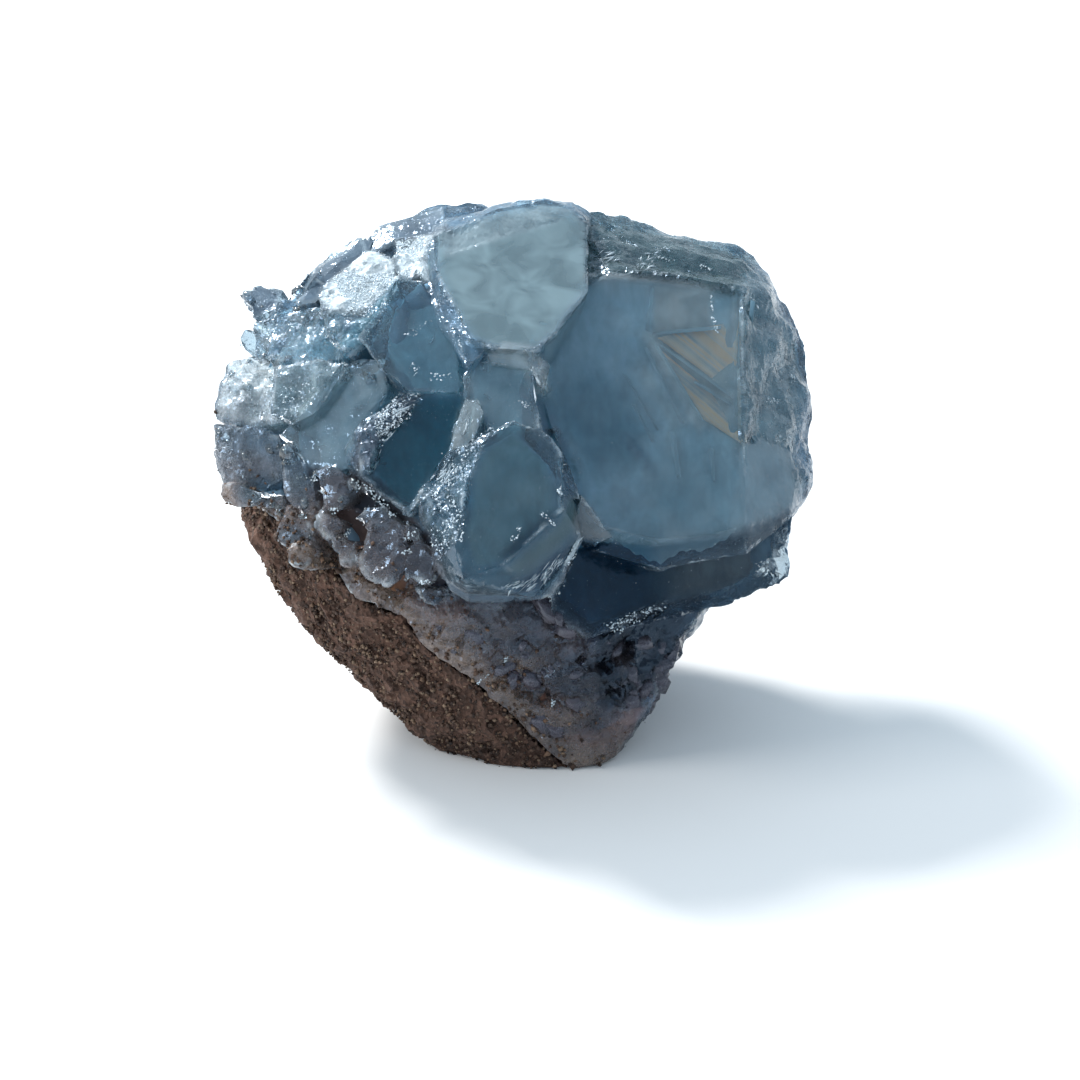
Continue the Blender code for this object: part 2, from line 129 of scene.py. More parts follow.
# Crystal faces on the drawing: outline, colour, milkiness and brokenness from 0 to 1, and how far the cloudy
# core reaches towards the face on its way from the heart
FACES = {
    "block": ([(5.4, 15.8), (7.5, 17.3), (15.0, 16.2), (18.3, 15.4), (18.2, 3.3), (18.7, -5.6), (14.2, -5.8),
               (11.7, -6.8), (6.7, -5.4), (4.6, 1.7), (2.1, 7.5), (2.1, 11.2)], SKY, 0.10, 0.05, 0.84),
    "block_shade": ([(2.6, 6.5), (4.5, 8.6), (8.8, 8.0), (11.0, 4.2), (9.5, 0.6), (5.6, 0.8)],
                    CLEAR, 0.06, 0.05, 0.84),
    "stain": ([(11.0, 11.9), (18.2, 13.0), (17.9, 3.4), (14.9, 6.6)], DULL, 0.15, 0.05, 0.86),
    "pane": ([(11.3, 16.1), (16.2, 16.6), (16.0, 12.8), (11.1, 12.2)], DULL, 0.2, 0.15, 0.86),
    "veil_1": ([(10.0, 12.6), (10.9, 12.2), (15.6, 4.6), (14.9, 4.0)], DIM, 0.25, 0.05, 0.88),
    "veil_2": ([(9.4, 10.4), (10.2, 10.0), (13.6, 4.9), (12.9, 4.5)], DIM, 0.2, 0.05, 0.88),
    "veil_3": ([(12.1, 4.4), (13.5, 4.0), (13.1, -1.4), (12.2, -1.0)], CLEAR, 0.2, 0.05, 0.88),
    "veil_4": ([(8.8, 3.9), (9.7, 3.4), (14.4, -2.8), (13.5, -3.3)], NIGHT, 0.15, 0.05, 0.88),
    "upright": ([(17.7, 15.2), (18.3, 15.2), (18.2, 3.3), (17.8, 3.3)], DIM, 0.3, 0.1, 0.9),
    # A pale line along the block's top edge: a painted highlight
    "top_line": ([(5.2, 17.2), (7.6, 17.4), (18.2, 16.2), (18.2, 15.8), (7.5, 16.9), (5.2, 16.6)],
                 FROST, 0.3, 0.1, 0.9),
    "feather": ([(11.6, -3.2), (12.4, -5.0), (14.4, -5.4), (14.6, -3.6)], FROST, 0.35, 0.3, 0.9),
    "block_foot": ([(11.0, 1.5), (17.8, 4.5), (18.5, -5.6), (14.2, -5.8), (8.5, -5.0)],
                   CLEAR, 0.12, 0.05, 0.90),
    "block_top": ([(5.4, 22.6), (7.4, 22.3), (13.4, 20.6), (18.1, 20.0), (20.3, 18.9), (18.3, 15.4),
                   (15.0, 16.2), (7.5, 17.3), (5.4, 15.8)], PINE, 0.18, 0.45, 0.92),
    "block_side": ([(19.3, 18.2), (21.3, 15.0), (23.5, 11.6), (23.9, 8.8), (23.2, 1.6), (23.8, -0.2),
                    (22.5, -2.7), (18.5, -5.0), (18.2, 3.3), (18.3, 15.4)], DIM, 0.18, 0.45, 0.90),
    "block_lip": ([(6.0, -3.6), (11.5, -5.0), (18.5, -4.2), (22.2, -2.2), (22.4, -3.2), (18.4, -6.2),
                   (12.0, -7.2), (6.4, -5.8)], DEEP, 0.3, 0.45, 0.97),
    "block_leaf": ([(18.5, 2.6), (20.2, 3.3), (22.6, 2.4), (22.9, -2.4), (17.4, -4.4)],
                   CLEAR, 0.22, 0.1, 0.88),
    "pale": ([(-6.9, 20.2), (-6.8, 17.3), (-5.1, 14.0), (-4.0, 12.0), (-2.2, 11.3), (1.1, 11.0), (2.9, 12.5),
              (4.2, 14.4), (5.4, 15.8), (5.4, 21.2), (4.3, 22.5), (1.8, 22.9), (-1.8, 22.3), (-6.5, 20.6)],
             MIST, 0.5, 0.05, 0.94),
    "pale_snow": ([(-6.9, 20.2), (-6.2, 18.6), (-1.4, 20.2), (3.0, 21.4), (4.3, 22.5), (1.8, 22.9),
                   (-1.8, 22.3), (-6.5, 20.6)], DIM, 0.5, 0.35, 0.94),
    "snowy": ([(-10.4, 19.9), (-7.2, 20.4), (-8.1, 16.8), (-10.0, 16.7)], SNOW, 0.95, 0.8, 0.95),
    "band": ([(-16.6, 15.2), (-16.0, 16.3), (-12.8, 18.9), (-10.9, 18.6), (-10.2, 16.7), (-13.6, 14.0),
              (-15.8, 13.9)], SNOW, 0.9, 0.75, 0.94),
    "slope": ([(-12.8, 18.9), (-16.3, 16.1), (-17.0, 14.9), (-18.5, 14.7), (-17.1, 17.8), (-13.3, 20.0)],
              INK, 0.8, 0.3, 0.95),
    "crest": ([(-13.3, 20.2), (-12.8, 18.9), (-10.4, 19.9), (-7.2, 20.4), (-6.5, 20.6), (-6.4, 22.8),
               (-9.5, 22.4), (-12.4, 21.3)], INK, 0.85, 0.2, 0.94),
    "knob": ([(-23.4, 15.4), (-21.8, 16.3), (-19.8, 15.8), (-20.5, 14.2), (-22.3, 13.5)],
             INK, 0.8, 0.3, 0.95),
    "left_mid": ([(-22.0, 13.0), (-21.8, 10.3), (-17.0, 9.8), (-14.2, 10.4), (-15.2, 13.6), (-17.0, 14.4),
                  (-20.0, 13.2)], SKY, 0.12, 0.55, 0.84),
    "left_low": ([(-24.2, 9.5), (-22.6, 10.1), (-19.9, 10.2), (-19.7, 5.0), (-22.0, 4.6), (-25.4, 5.2)],
                 FROST, 0.4, 0.65, 0.92),
    "frosted": ([(-20.3, 9.2), (-16.3, 9.8), (-14.6, 9.2), (-17.2, 5.6), (-19.2, 4.6), (-20.6, 5.5)],
                DIM, 0.35, 0.7, 0.92),
    "grey": ([(-17.4, 6.6), (-14.8, 9.3), (-11.8, 9.9), (-11.0, 7.6), (-13.1, 4.7), (-14.5, 2.4),
              (-14.5, 1.0), (-17.3, 0.9), (-18.5, 2.3), (-20.0, 3.8)], CLEAR, 0.18, 0.2, 0.88),
    "mid_blue": ([(-10.3, 16.6), (-8.2, 16.7), (-6.4, 12.9), (-5.6, 11.4), (-4.9, 8.1), (-5.3, 7.5),
                  (-9.3, 7.6), (-11.5, 9.3), (-12.9, 11.8), (-10.5, 15.5)], CLEAR, 0.05, 0.2, 0.86),
    "wall": ([(-15.2, 11.2), (-13.2, 13.6), (-10.4, 16.2), (-10.9, 15.0), (-13.0, 11.8), (-13.6, 10.6)],
             AZURE, 0.2, 0.9, 0.92),
    "dark": ([(-10.3, 5.9), (-7.9, 7.0), (-4.9, 7.2), (-4.7, 6.4), (-5.9, 2.3), (-8.2, -0.6), (-9.3, -2.5),
              (-11.4, -1.3), (-13.1, 0.7), (-13.0, 3.5)], TEAL, 0.0, 0.12, 0.88),
    "dark_rim": ([(-10.1, 7.1), (-8.2, 7.2), (-9.2, 5.6), (-11.6, 3.2), (-12.4, 0.6), (-14.2, 1.0),
                  (-13.4, 4.0)], INK, 0.12, 0.85, 0.93),
    "slate": ([(-4.7, 8.8), (-2.9, 9.9), (0.9, 9.2), (1.3, 6.5), (1.4, 4.2), (-2.4, 4.1), (-3.3, 6.5),
               (-4.6, 6.9)], CLEAR, 0.12, 0.2, 0.90),
    "bar": ([(-4.6, 6.7), (-3.4, 6.7), (-3.1, 5.6), (-3.8, 3.6), (-4.8, 2.8), (-5.9, 2.3), (-5.3, 5.0)],
            DULL, 0.35, 0.35, 0.94),
    # A bright sliver: snow white, partly a painted glint
    "sliver": ([(1.1, 9.3), (2.0, 9.1), (2.6, 7.4), (1.9, 7.2), (1.4, 7.8)], SNOW, 0.5, 0.6, 0.96),
    "collar": ([(-2.7, 10.4), (-1.3, 11.4), (0.8, 11.1), (2.4, 9.5), (0.9, 9.2), (-2.2, 9.8)],
               FROST, 0.2, 0.3, 0.93),
    "centre": ([(-3.3, 3.0), (-0.5, 4.7), (1.5, 3.9), (3.2, 2.2), (3.4, -2.4), (-1.4, -6.9), (-4.6, -8.0),
                (-5.4, -5.0), (-4.6, -2.4), (-4.2, 0.2)], DIM, 0.06, 0.12, 0.95),
    "centre_dark": ([(-1.4, -6.2), (0.4, -4.4), (3.0, -2.8), (3.0, -4.2), (0.6, -6.8)],
                    SMOKE_AND_SHADE, 0.0, 0.3, 0.95),
    "centre_left": ([(-3.3, 3.0), (-5.9, 2.2), (-7.9, -0.8), (-8.0, -3.6), (-7.0, -6.8), (-5.4, -5.0),
                     (-4.6, -2.4), (-4.2, 0.2)], DEEP, 0.15, 0.72, 0.93),
    "centre_foot": ([(-7.0, -6.8), (-6.0, -8.6), (-4.1, -9.7), (1.5, -9.7), (4.4, -6.2), (5.0, -5.0),
                     (3.4, -2.4), (-1.4, -6.9), (-4.6, -8.0), (-5.4, -5.0)], DEEP, 0.08, 0.12, 0.95),
    "bevel": ([(-1.2, -7.6), (0.8, -8.0), (2.8, -6.2), (4.6, -4.2), (5.2, -1.5), (4.4, -1.0), (3.2, -3.8),
               (0.5, -5.8)], PINE, 0.2, 0.1, 0.95),
    "window": ([(-0.5, -9.3), (2.5, -9.2), (4.3, -6.4), (4.2, -5.6), (2.8, -6.2), (0.8, -8.0)],
               NIGHT, 0.02, 0.1, 0.95),
    "white_rim": ([(1.5, -9.9), (2.6, -9.7), (5.0, -6.6), (5.3, -5.0), (4.6, -5.4), (3.9, -6.9), (2.2, -9.0)],
                  STONE, 0.4, 0.8, 0.98),
    "pink": ([(5.2, -1.3), (6.3, -2.9), (7.6, -4.7), (6.2, -5.5), (4.9, -4.9), (4.5, -3.6)],
             DUSK, 0.3, 0.3, 0.96),
    # Under the block the shard's dark blue is partly painted shade
    "shard": ([(3.0, -9.5), (5.2, -5.0), (11.5, -5.5), (18.6, -4.5), (22.4, -2.6), (22.3, -4.8), (21.9, -8.0),
               (21.2, -8.5), (17.3, -10.3), (10.9, -10.9), (7.6, -12.3), (5.9, -13.0), (2.8, -11.0)],
              NIGHT, 0.0, 0.12, 0.93),
    "shard_end": ([(12.0, -6.2), (18.6, -4.5), (22.4, -2.6), (22.3, -4.8), (21.9, -8.0), (21.2, -8.5),
                   (17.3, -10.3), (12.5, -10.4)], DUSK, 0.05, 0.2, 0.93),
    "shard_edge": ([(7.6, -12.3), (9.2, -11.2), (12.3, -10.2), (12.0, -10.9), (9.6, -12.0), (7.7, -12.8)],
                   SMOKE_AND_SHADE, 0.3, 0.75, 0.97),
    # Below the shard: smoky, and darkened further as painted shade
    "smoke": ([(15.5, -10.0), (15.0, -11.0), (12.6, -14.5), (10.3, -17.4), (9.2, -18.0), (8.4, -19.2),
               (6.6, -19.6), (6.2, -16.8), (6.5, -13.0), (10.9, -11.2)], SMOKE_AND_SHADE, 0.0, 0.25, 0.93),
    "lobes": ([(-18.0, 1.2), (-14.1, 0.9), (-9.0, -3.0), (-7.0, -6.0), (-5.8, -9.8), (-8.1, -10.8),
               (-12.5, -8.8), (-17.5, -5.0)], STONE, 0.2, 0.3, 0.89),
    # The massive root low down: its dark tone is partly painted shade
    "massive": ([(-8.0, -10.2), (2.0, -9.8), (6.0, -13.0), (6.5, -19.0), (9.6, -19.0), (8.0, -24.0),
                 (0.0, -25.0), (-6.0, -18.0), (-7.0, -13.0)], SMOKE_AND_SHADE, 0.12, 0.45, 0.93),
    "pale_foot": ([(1.0, -22.4), (4.0, -21.2), (7.0, -21.0), (9.4, -18.6), (10.4, -18.8), (9.0, -21.6),
                   (7.4, -24.6), (0.0, -25.6)], RUST, 0.5, 0.4, 0.97),
}

# The same four values between the faces, on the root, where sand stains it, and where sand is caked on
ELSEWHERE = ("#50697a", 0.10, 0.42, 0.90)
ROOT_LOOK = ("#3f4750", 0.08, 0.5, 0.95)
SANDY_LOOK = ("#6a4c38", 0.3, 0.6, 0.97)
CAKED_LOOK = ("#20130c", 0.85, 0.95, 0.985)
# Worn edges: chipped and pale, the paleness partly a painted highlight along the edges
BRUISE_AND_HIGHLIGHT = "#c4d8e2"                           # worn edges
SANDY_WIDTH = 3.0                             # the stain and the cake fade over these widths from the seam
CAKED_WIDTH = 0.6

# A face passes into its neighbour over this width on the skin and on the core, and some over a wider one
FACE_BLEND = 0.3
CORE_BLEND = 0.6
SOFT_FACES = {"block_shade": 2.0, "block_foot": 2.0, "stain": 0.8, "feather": 0.8, "shard_end": 2.0,
              "centre_dark": 1.0}

# How many there are of each small thing
DRUSE_CRYSTALS = 150
ROOT_SHARDS = 460
SUGAR_GRAINS = 20000
DUST_SPECKS = 3500
HEALED_CRACKS = 30
# Each mark of chips and painted glints has this many slivers
SLIVERS = 22                                  # in each fresh chip

# Sand: what it lies on, how many grains, the width it thins out over from the seam or None where it lies
# evenly, and the smallest grain's half width; then how far the grains stand out
SAND = (("matrix", 9000, None, 0.08), ("celestite", 5000, 1.3, 0.05), ("matrix", 1200, 0.25, 0.2),
        ("celestite", 1200, 0.25, 0.2))
SAND_LIFT = {"matrix": 0.1, "celestite": 0.2}
SAND_TONES = ("#6e5543", "#4f3b30", "#806a57", "#2f1f18", "#5c4639", "#493428")

# The block's large face: how far its plane stands in front of the drawing, and its slopes across and up
BLOCK_PLANE = (9.2, -0.05, -0.45)

# Inside the block: four corners on the drawing and the depth behind the face, of each part of the stained
# cleavage and of each pale lath, and how thick they are
STAIN = [
    ([(11.4, 11.6), (18.2, 13.0), (17.9, 8.2), (17.6, 6.9)], 1.2),
    ([(11.5, 10.7), (15.2, 4.8), (18.4, 2.8), (17.4, 5.6)], 1.4),
]
STAIN_THICK = 0.05
LATHS = [
    ([(11.2, 11.5), (17.7, 6.8), (17.7, 6.6), (11.2, 11.2)], 1.0),
    ([(14.5, 8.1), (17.6, 6.2), (17.6, 6.0), (14.4, 7.8)], 1.1),
    ([(10.6, 11.8), (11.0, 11.8), (15.3, 4.7), (14.9, 4.6)], 1.2),
    ([(18.5, 15.6), (18.8, 15.6), (18.1, 5.0), (17.8, 5.2)], 0.8),
    ([(19.2, 15.0), (19.6, 14.9), (18.8, 8.0), (18.6, 8.0)], 0.9),
    ([(11.0, 12.1), (16.7, 12.6), (16.7, 12.4), (11.0, 11.8)], 1.0),
    ([(10.2, 10.8), (10.7, 10.6), (13.7, 4.5), (13.3, 4.4)], 1.3),
    ([(12.3, 3.8), (12.9, 3.7), (13.4, 0.0), (13.0, -0.2)], 1.3),
    ([(9.2, 6.0), (9.6, 6.0), (11.2, 3.0), (10.9, 2.8)], 1.4),
    ([(15.6, 2.4), (16.1, 2.4), (16.2, -0.4), (15.9, -0.4)], 1.3),
    ([(10.9, 16.3), (11.2, 16.3), (10.8, 12.2), (10.4, 12.2)], 1.0),
    ([(8.4, 8.6), (8.8, 8.4), (11.6, 3.9), (11.3, 3.8)], 1.6),
]
LATH_THICK = 0.03

# The block's lower edge: the upper curve, and the scalloped rim, on the drawing
LIP_TOPS = [(4.8, -3.2), (8.0, -4.4), (12.0, -5.0), (16.0, -4.6), (18.4, -3.9)]
LIP_RIMS = [(5.2, -4.0), (6.2, -5.3), (7.9, -5.1), (8.9, -5.8), (10.0, -6.3), (10.8, -6.9), (11.7, -7.0),
            (12.6, -6.4), (14.2, -5.9), (15.6, -5.9), (16.8, -5.2), (18.0, -4.2)]
LIP_THICK = 0.6
LIP_SUNK = 0.25

# Marks sit on the surface that shows this near to them
SEEN_NEAR = 0.5
# Fresh chips, white slivers that are partly painted glints: where each shows on the drawing, its length,
# width and turn in degrees; then the slivers' half lengths, and their widths as shares of them
CHIPS_AND_GLINTS = [
    (-5.3, -1.5, 1.3, 0.6, 50), (-5.6, -3.2, 0.8, 0.5, 60), (-4.9, -4.6, 1.0, 0.4, 80),
    (-0.3, -4.5, 1.4, 0.5, 55), (2.3, -3.2, 1.6, 0.3, -40), (3.4, -1.1, 0.8, 0.4, -50),
    (1.5, 8.6, 2.0, 0.5, -65), (-2.6, 4.4, 0.9, 0.5, 30), (0.3, 6.4, 1.0, 0.4, -40),
    (-3.6, 3.6, 0.9, 0.6, 60), (-20.0, 13.1, 2.2, 1.1, -20), (-23.0, 11.3, 0.9, 0.8, 30),
    (-21.0, 11.8, 1.6, 1.0, -10), (-19.2, 11.2, 1.6, 1.0, 10), (-17.6, 12.4, 1.6, 1.2, 0),
    (-16.2, 11.6, 1.4, 1.2, 40), (-18.4, 10.4, 2.0, 0.6, 0), (-15.4, 12.6, 1.2, 0.8, 60),
    (-14.6, 9.8, 2.2, 0.5, 0), (-20.6, 10.2, 1.4, 0.5, 5), (-5.0, 11.6, 1.6, 0.4, -70),
    (-8.4, 12.6, 2.6, 0.5, 32), (-6.6, 8.6, 1.8, 0.6, 0), (-8.9, 9.2, 1.0, 0.8, 60),
    (-13.4, -0.4, 1.6, 0.6, -35), (-12.4, -1.1, 1.0, 0.6, -50), (-11.5, -1.9, 1.0, 0.5, -40),
    (-10.5, -2.9, 0.9, 0.4, 0), (-9.2, -4.6, 0.9, 0.8, 70), (-9.4, -6.0, 0.8, 0.4, 20),
    (-8.0, -8.5, 1.0, 0.5, 10), (-15.6, -2.6, 1.2, 0.6, 20), (-16.4, -1.2, 1.0, 0.4, -20),
    (-14.4, -4.4, 0.8, 0.4, 50), (-7.6, -3.4, 0.9, 0.4, 80), (-17.2, 0.2, 1.4, 0.6, 10),
    (-5.8, -12.7, 0.9, 0.3, 45), (-1.1, -14.8, 0.9, 0.3, 60), (-3.3, -16.7, 1.6, 0.3, 45),
    (2.7, -18.8, 0.9, 0.3, 75), (7.9, -12.0, 1.2, 0.5, 25), (9.3, -11.4, 1.2, 0.5, 30),
    (10.6, -10.9, 0.9, 0.4, 15), (20.1, -7.0, 1.3, 0.4, 15), (22.1, 3.5, 1.7, 0.7, 5),
    (21.2, 6.6, 1.1, 0.5, -15), (22.8, 8.4, 1.1, 0.5, -60), (21.0, 11.2, 1.2, 0.5, 50),
    (19.8, 14.9, 1.2, 0.5, -50), (12.4, 18.6, 1.5, 0.4, -15), (9.0, 19.8, 1.3, 0.4, -20),
    (15.6, 17.8, 1.2, 0.4, -10), (16.0, 14.7, 1.4, 0.15, -85), (16.3, 12.9, 1.4, 0.25, -70),
    (4.4, -5.9, 1.6, 0.3, 60), (3.7, -7.3, 1.6, 0.3, 52),
]
CHIP_SIZES = (0.03, 0.16)
CHIP_SLENDER = (0.3, 0.8)

# Fine pale lines, laid out in the same way
LINES = [
    (4.6, -5.6, 1.2, 0.3, 62), (4.0, -6.7, 1.2, 0.3, 56), (3.3, -7.9, 1.2, 0.3, 50),
    (2.5, -8.8, 1.0, 0.3, 42), (3.0, -7.0, 1.4, 0.8, 56), (2.0, -7.9, 1.4, 0.9, 50),
    (1.0, -8.6, 1.2, 0.8, 44), (-0.4, -8.8, 1.4, 0.6, 20), (-11.2, 3.8, 1.4, 0.9, 50),
    (-12.2, 1.8, 1.4, 0.9, 70), (-9.9, 5.9, 1.4, 0.5, 35), (-4.4, 4.6, 1.4, 0.7, 72),
    (-6.0, 0.6, 1.4, 1.2, 62), (1.5, 8.4, 1.4, 0.3, -65), (7.6, 19.0, 1.0, 1.6, 62),
    (10.6, 18.2, 1.4, 1.4, 58),
]
LINE_SIZES = (0.25, 0.8)
LINE_SLENDER = (0.02, 0.05)


def linear(code):
    """The linear colour of an sRGB hex code such as #54788b."""
    parts = np.array([int(code[start:start + 2], 16) for start in (1, 3, 5)]) / 255.0
    return np.where(parts <= 0.04045, parts / 12.92, ((parts + 0.055) / 1.055) ** 2.4)


def in_cluster(points):
    """The frame's metres as millimetres from the drawing's middle."""
    return points * 1000.0 - STANDS_AT


def in_frame(points):
    """The cluster's millimetres as the frame's metres."""
    return (points + STANDS_AT) * 0.001


def seen(across, up, toward):
    """The places that show at across, up on the drawing and stand toward mm in front of it."""
    nearer = (EYE - toward) / EYE
    flat = np.stack([across * nearer, up * nearer, toward], axis=-1)
    return flat @ np.array([(1.0, 0.0, 0.0), UP_DRAWING, TOWARD_EYE])


def drawn(points):
    """Where points show on the drawing, and how far each stands in front of it: a perspective's inverse."""
    toward = points @ TOWARD_EYE
    larger = EYE / (EYE - toward)
    return points[:, 0] * larger, (points @ UP_DRAWING) * larger, toward


def chance_at(cells, seed):
    """A number from 0 to 1 for each cell: its whole coordinates are multiplied, mixed and cut to 24 bits."""
    mixed = cells[..., 0] * 73856093 ^ cells[..., 1] * 19349663 ^ cells[..., 2] * 83492791 ^ (seed * 40503)
    mixed = (mixed ^ (mixed >> 13)) * 1274126177
    mixed = (mixed ^ (mixed >> 16)) * 668265263
    return ((mixed >> 8) & 0xFFFFFF) / float(0x1000000)


def waves(points, size, seed):
    """Soft noise from -1 to 1: chance values at a grid's corners, blended by the smooth step 3t^2 - 2t^3."""
    cell = np.floor(points / size).astype(np.int64)
    part = points / size - cell
    part = part * part * (3.0 - 2.0 * part)
    total = np.zeros(len(points))
    for corner in itertools.product((0, 1), repeat=3):
        weight = np.prod(np.where(np.array(corner) == 1, part, 1.0 - part), axis=1)
        total += weight * chance_at(cell + np.array(corner), seed)
    return total * 2.0 - 1.0


def chipped(points, size, seed):
    """Height of a chipped surface: the nearest grain of a jittered grid has a flat with a random slope."""
    cell = np.floor(points / size).astype(np.int64)
    nearest = np.full(len(points), np.inf)
    height = np.zeros(len(points))
    for step in itertools.product((-1, 0, 1), repeat=3):
        there = cell + np.array(step)
        jitter = np.stack([chance_at(there, seed + axis) for axis in (1, 2, 3)], axis=1)
        slope = np.stack([chance_at(there, seed + axis) for axis in (4, 5, 6)], axis=1) - 0.5
        away = points - (there + jitter) * size
        distance = (away ** 2).sum(axis=1)
        closer = distance < nearest
        nearest = np.where(closer, distance, nearest)
        height = np.where(closer, (away * slope).sum(axis=1), height)
    return height


def columns(points):
    """Places that change slowly away from the heart and fast across the way, so that noise draws columns."""
    out = points - HEART
    distance = np.linalg.norm(out, axis=1)[:, None]
    return out / distance * 16.0 + distance * 0.2


def inside_by(across, up, outline):
    """How far each place lies inside an outline: the nearest side's distance, negative outside (even-odd)."""
    corners = np.array(outline)
    inside = np.zeros(len(across), bool)
    nearest = np.full(len(across), np.inf)
    for (x0, y0), (x1, y1) in zip(corners, np.roll(corners, -1, axis=0)):
        run = (x1 - x0) ** 2 + (y1 - y0) ** 2
        share = np.clip(((across - x0) * (x1 - x0) + (up - y0) * (y1 - y0)) / run, 0.0, 1.0)
        gap = np.hypot(across - x0 - share * (x1 - x0), up - y0 - share * (y1 - y0))
        nearest = np.minimum(nearest, gap)
        crosses = (y0 > up) != (y1 > up)
        reach = x0 + (up - y0) / np.where(y1 == y0, 1e-9, y1 - y0) * (x1 - x0)
        inside ^= crosses & (across < reach)
    return np.where(inside, nearest, -nearest)


def soft_step(value, low, high):
    """0 up to low, 1 from high on, and 3t^2 - 2t^3 of the share t of the way between them."""
    share = np.clip((value - low) / (high - low), 0.0, 1.0)
    return share * share * (3.0 - 2.0 * share)


def merged_copy(name):
    """A CAD node's closed surface as points in the cluster's axes and triangles, flat areas cut up evenly."""
    bm = bmesh.new()
    bm.from_mesh(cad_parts[name].data)
    bmesh.ops.remove_doubles(bm, verts=bm.verts, dist=1e-6)
    bmesh.ops.dissolve_limit(bm, angle_limit=math.radians(0.5), verts=bm.verts, edges=bm.edges)
    bmesh.ops.triangulate(bm, faces=bm.faces, quad_method="BEAUTY", ngon_method="BEAUTY")
    bm.verts.index_update()
    points = np.array([vert.co for vert in bm.verts])
    triangles = np.array([[vert.index for vert in face.verts] for face in bm.faces])
    bm.free()
    return in_cluster(points), triangles


def split_long_edges(points, triangles, labels, longest):
    """Every edge longer than its ends allow gets a point at its middle, which cuts triangles in 2, 3 or 4."""
    while True:
        sides = np.sort(triangles[:, [[0, 1], [1, 2], [2, 0]]].reshape(-1, 2), axis=1)
        edges, back = np.unique(sides, axis=0, return_inverse=True)
        length = np.linalg.norm(points[edges[:, 0]] - points[edges[:, 1]], axis=1)
        long = length > longest[edges].mean(axis=1)
        if not long.any():
            return points, triangles, labels
        middle = np.full(len(edges), -1)
        middle[long] = len(points) + np.arange(long.sum())
        points = np.concatenate([points, points[edges[long]].mean(axis=1)])
        longest = np.concatenate([longest, longest[edges[long]].mean(axis=1)])
        middle = middle[back.reshape(-1)].reshape(-1, 3)
        cuts = (middle >= 0).sum(axis=1)
        turn = np.zeros(len(triangles), int)
        for shift in (1, 2):
            first = np.roll(middle, -shift, axis=1)
            turn[(cuts == 1) & (first[:, 0] >= 0)] = shift
            turn[(cuts == 2) & (first[:, 2] < 0)] = shift
        order = (np.arange(3) + turn[:, None]) % 3
        a, b, c = np.take_along_axis(triangles, order, axis=1).T
        ab, bc, ca = np.take_along_axis(middle, order, axis=1).T
        one, two, three = cuts == 1, cuts == 2, cuts == 3
        pieces = [(cuts == 0, (a, b, c)),
                  (one, (a, ab, c)), (one, (ab, b, c)),
                  (two, (a, ab, bc)), (two, (ab, b, bc)), (two, (a, bc, c)),
                  (three, (a, ab, ca)), (three, (ab, b, bc)), (three, (ca, bc, c)), (three, (ab, bc, ca))]
        triangles = np.concatenate([np.stack([corner[chosen] for corner in piece], axis=1)
                                    for chosen, piece in pieces])
        labels = np.concatenate([labels[chosen] for chosen, piece in pieces])


def triangle_normals(points, triangles):
    """Each triangle's normal, twice its area long: the cross product of two sides."""
    a, b, c = (points[triangles[:, corner]] for corner in range(3))
    return np.cross(b - a, c - a)


def unit(vectors):
    """The vectors, each divided by its length."""
    return vectors / np.maximum(np.linalg.norm(vectors, axis=1, keepdims=True), 1e-12)


def summed_at(count, triangles, values):
    """Each point's sum of its triangles' values."""
    return np.stack([sum(np.bincount(triangles[:, corner], weights=column, minlength=count)
                         for corner in range(3)) for column in values.T], axis=1)


def point_normals(points, triangles):
    """Each point's normal: the direction of the sum of its triangles' normals."""
    return unit(summed_at(len(points), triangles, triangle_normals(points, triangles)))


def spread(values, points, triangles, times):
    """Values smoothed over the surface: a point takes the mean of itself and its neighbours, times over."""
    ends = np.concatenate([triangles[:, [0, 1]], triangles[:, [1, 2]], triangles[:, [2, 0]]])
    count = np.bincount(ends.ravel(), minlength=len(points)) + 1.0
    for _ in range(times):
        total = values.copy()
        for near, far in ((0, 1), (1, 0)):
            for column in range(values.shape[1]):
                total[:, column] += np.bincount(ends[:, near], weights=values[ends[:, far], column],
                                                minlength=len(points))
        values = total / count[:, None]
    return values


def refined(name, longest):
    """A CAD node's surface as points and triangles with no edge longer than this."""
    points, triangles = merged_copy(name)
    labels = np.zeros(len(triangles), int)
    points, triangles, _ = split_long_edges(points, triangles, labels, np.full(len(points), longest))
    return points, triangles


def repeated(placed, faces):
    """Copies of one shape: placed has each copy's points, and faces has the first one's triangles."""
    first = np.arange(len(placed)) * placed.shape[1]
    return placed.reshape(-1, 3), (faces[None] + first[:, None, None]).reshape(-1, 3)


def facet_labels(points, triangles):
    """A number for each flat facet: neighbouring triangles with nearly the same normal share the lowest."""
    normals = unit(triangle_normals(points, triangles))
    sides = np.sort(triangles[:, [[0, 1], [1, 2], [2, 0]]].reshape(-1, 2), axis=1)
    order = np.lexsort((sides[:, 1], sides[:, 0]))
    owner = np.repeat(np.arange(len(triangles)), 3)[order].reshape(-1, 2)
    flat = (normals[owner[:, 0]] * normals[owner[:, 1]]).sum(axis=1) > math.cos(math.radians(2.0))
    pairs = owner[flat]
    labels = np.arange(len(triangles))
    while True:
        lowest = np.minimum(labels[pairs[:, 0]], labels[pairs[:, 1]])
        new = labels.copy()
        np.minimum.at(new, pairs[:, 0], lowest)
        np.minimum.at(new, pairs[:, 1], lowest)
        if (new == labels).all():
            return labels
        labels = new


